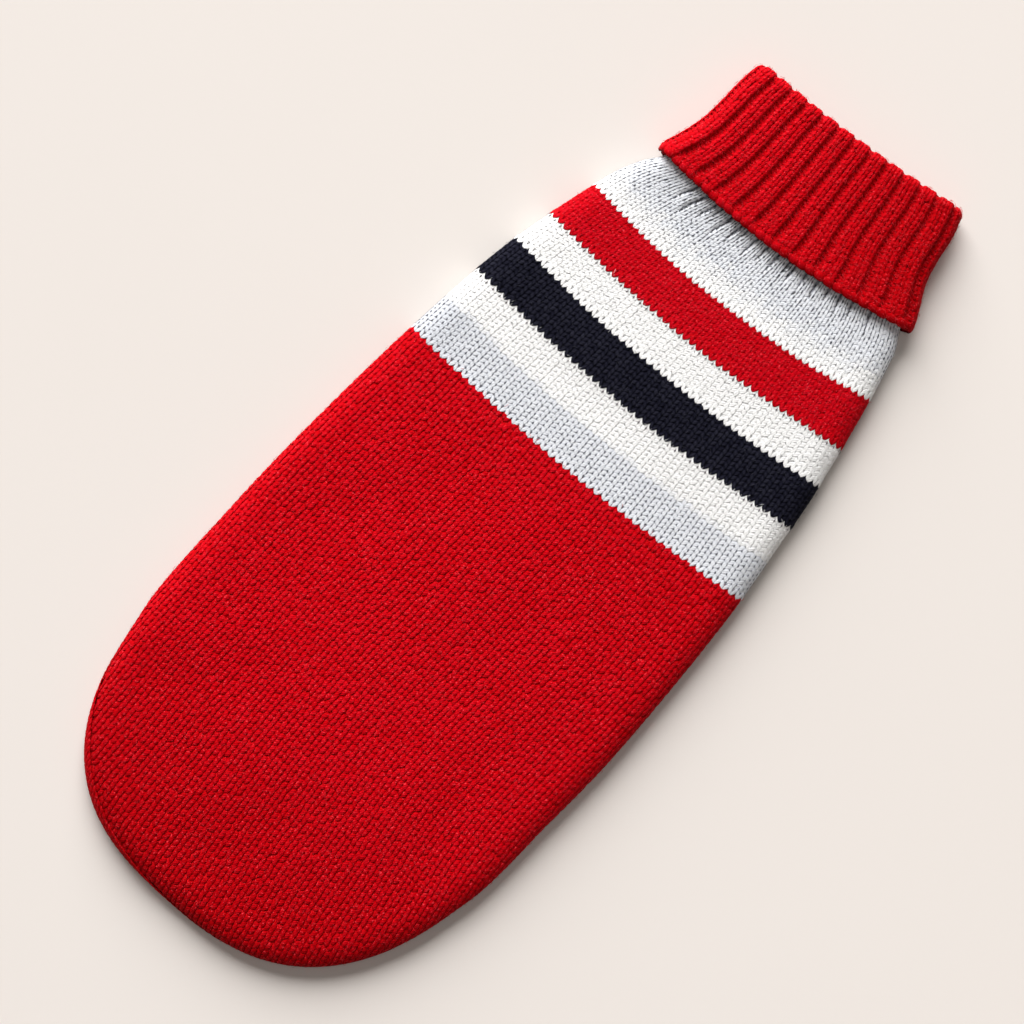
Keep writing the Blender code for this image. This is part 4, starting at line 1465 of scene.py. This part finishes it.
def stray_fibres(name, sheet, places, finish):
    """Loose fibres: thin hairs that rise from the cloth, bend over and end a few millimetres away."""
    count = len(places)
    turn = rng.uniform(0, 2 * math.pi, count)
    length = rng.uniform(1.2, 3.4, count)
    bend = rng.uniform(-0.9, 0.9, count)
    height = rng.uniform(0.20, 0.80, count)
    t = np.array([0.0, 0.3, 0.7, 1.0])
    heading = turn[:, None] + bend[:, None] * t
    flat = places[:, None] + (length[:, None] * t)[..., None] * pair(np.cos(heading), np.sin(heading))
    lift = 0.30 + height[:, None] * np.sin(t * 2.6)
    middle = sheet.place(flat[..., 0], flat[..., 1], lift)
    ahead = unit(middle[:, 3] - middle[:, 0])[:, None]
    upward = np.array([0.0, 0.0, 1.0]) + 0 * ahead
    sideways = unit(np.cross(ahead, upward) + 1e-6)
    upright = np.cross(sideways, ahead)
    angles = np.radians([90.0, 210.0, 330.0])
    thick = rng.uniform(0.05, 0.085, count)[:, None, None, None]
    ring = np.cos(angles)[:, None] * sideways[:, :, None] + np.sin(angles)[:, None] * upright[:, :, None]
    rings = middle[:, 1:3, None] + ring * thick
    points = np.concatenate([middle[:, :1], rings.reshape(count, 6, 3), middle[:, 3:]], axis=1)
    corners, sizes, _ = spindle(3, 2)
    return put_many(name, points, corners, sizes, finish)


def scattered(count, low, high):
    """Flat places spread at random over the body between two heights along it."""
    along = rng.uniform(low, high, count)
    column = rng.uniform(-27.0, 27.0, count)
    places = body_place(column, along)
    return places[back.read(back.room, places[:, 0], places[:, 1]) > 4.0]


FIBRES = (
    # piece, finish, and for each stretch of the body how many, from, to
    ("red_fibres", red_fibre, (2200, -262.0, 36.0)),
    ("stripe_red_fibres", red_fibre, (260, 124.0, 147.0)),
    ("light_fibres", light_fibre, (320, 35.0, 77.0), (180, 101.5, 122.0), (320, 148.0, 190.0)),
    ("navy_fibres", navy_fibre, (240, 77.5, 101.0)),
)
for name, finish, *parts in FIBRES:
    places = np.concatenate([scattered(*part) for part in parts])
    back_knit.append(stray_fibres(name, back, places, finish))
collar_places = np.column_stack([rng.uniform(-1.6, RIBS + 1.6, 1900) * RIB_PERIOD,
                                 rng.uniform(0.5, BEND + 7.0, 1900)])
collar_fibres = stray_fibres("collar_fibres", collar, collar_places, red_fibre)


# ---- ride, replace
collar_pieces = [collar_knit, collar_purl, collar_edge, collar_fibres]
cloths = [back_cloth, chest_cloth, belly_cloth, collar_cloth, hem_cloth]
pieces = [*cloths, *back_knit, *collar_pieces, hem_loops]
for piece in pieces:
    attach(piece, "root")
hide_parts("back_panel")
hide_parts("chest_panel")
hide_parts("belly_panel")
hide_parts("collar")
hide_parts("hem_edging")

# ---- floor, light and camera
floor_half = 3000.0
floor_points = np.array([(-1, -1, 0), (1, -1, 0), (1, 1, 0), (-1, 1, 0)]) * floor_half
floor = put_mesh("floor", floor_points, np.arange(4), np.array([4]), floor_finish(), smooth=False)

world = bpy.data.worlds.new("studio")
bpy.context.scene.world = world
world.use_nodes = True
world.node_tree.nodes["Background"].inputs["Color"].default_value = (1.0, 0.90, 0.80, 1.0)
world.node_tree.nodes["Background"].inputs["Strength"].default_value = 0.125


def soft_light(name, place, size, power, colour):
    """A broad round lamp pointed at the sweater."""
    lamp = bpy.data.lights.new(name, "AREA")
    lamp.shape, lamp.size, lamp.energy, lamp.color = "DISK", size, power, colour
    item = put_object(name, lamp)
    item.location = place
    item.rotation_euler = Vector((-place[0], -place[1], -place[2])).to_track_quat("-Z", "Y").to_euler()


soft_light("window", (-15.379, 14.341, 10.714), 23.0, 13300.0, (1.0, 0.995, 0.985))
soft_light("overhead", (0.1, 0.1, 2.8), 1.1, 8.0, (1.0, 0.99, 0.98))

PICTURE_TURN = math.atan2(0.677, 0.736)  # the sweater's length runs aslant across the picture
PICTURE_CENTRE = (-7.65, -0.76)
PICTURE_WIDTH = 512.0
CAMERA_HEIGHT = 1.75
lens = bpy.data.cameras.new("camera")
lens.sensor_width = 36.0
lens.lens = 36.0 * (CAMERA_HEIGHT - 0.013) / (PICTURE_WIDTH * MM)
lens.clip_start, lens.clip_end = 0.05, 20.0
camera = put_object("camera", lens)
camera.location = (PICTURE_CENTRE[0] * MM, PICTURE_CENTRE[1] * MM, CAMERA_HEIGHT)
camera.rotation_euler = (0.0, 0.0, PICTURE_TURN)
bpy.context.scene.camera = camera
bpy.context.scene.view_settings.view_transform = "Standard"
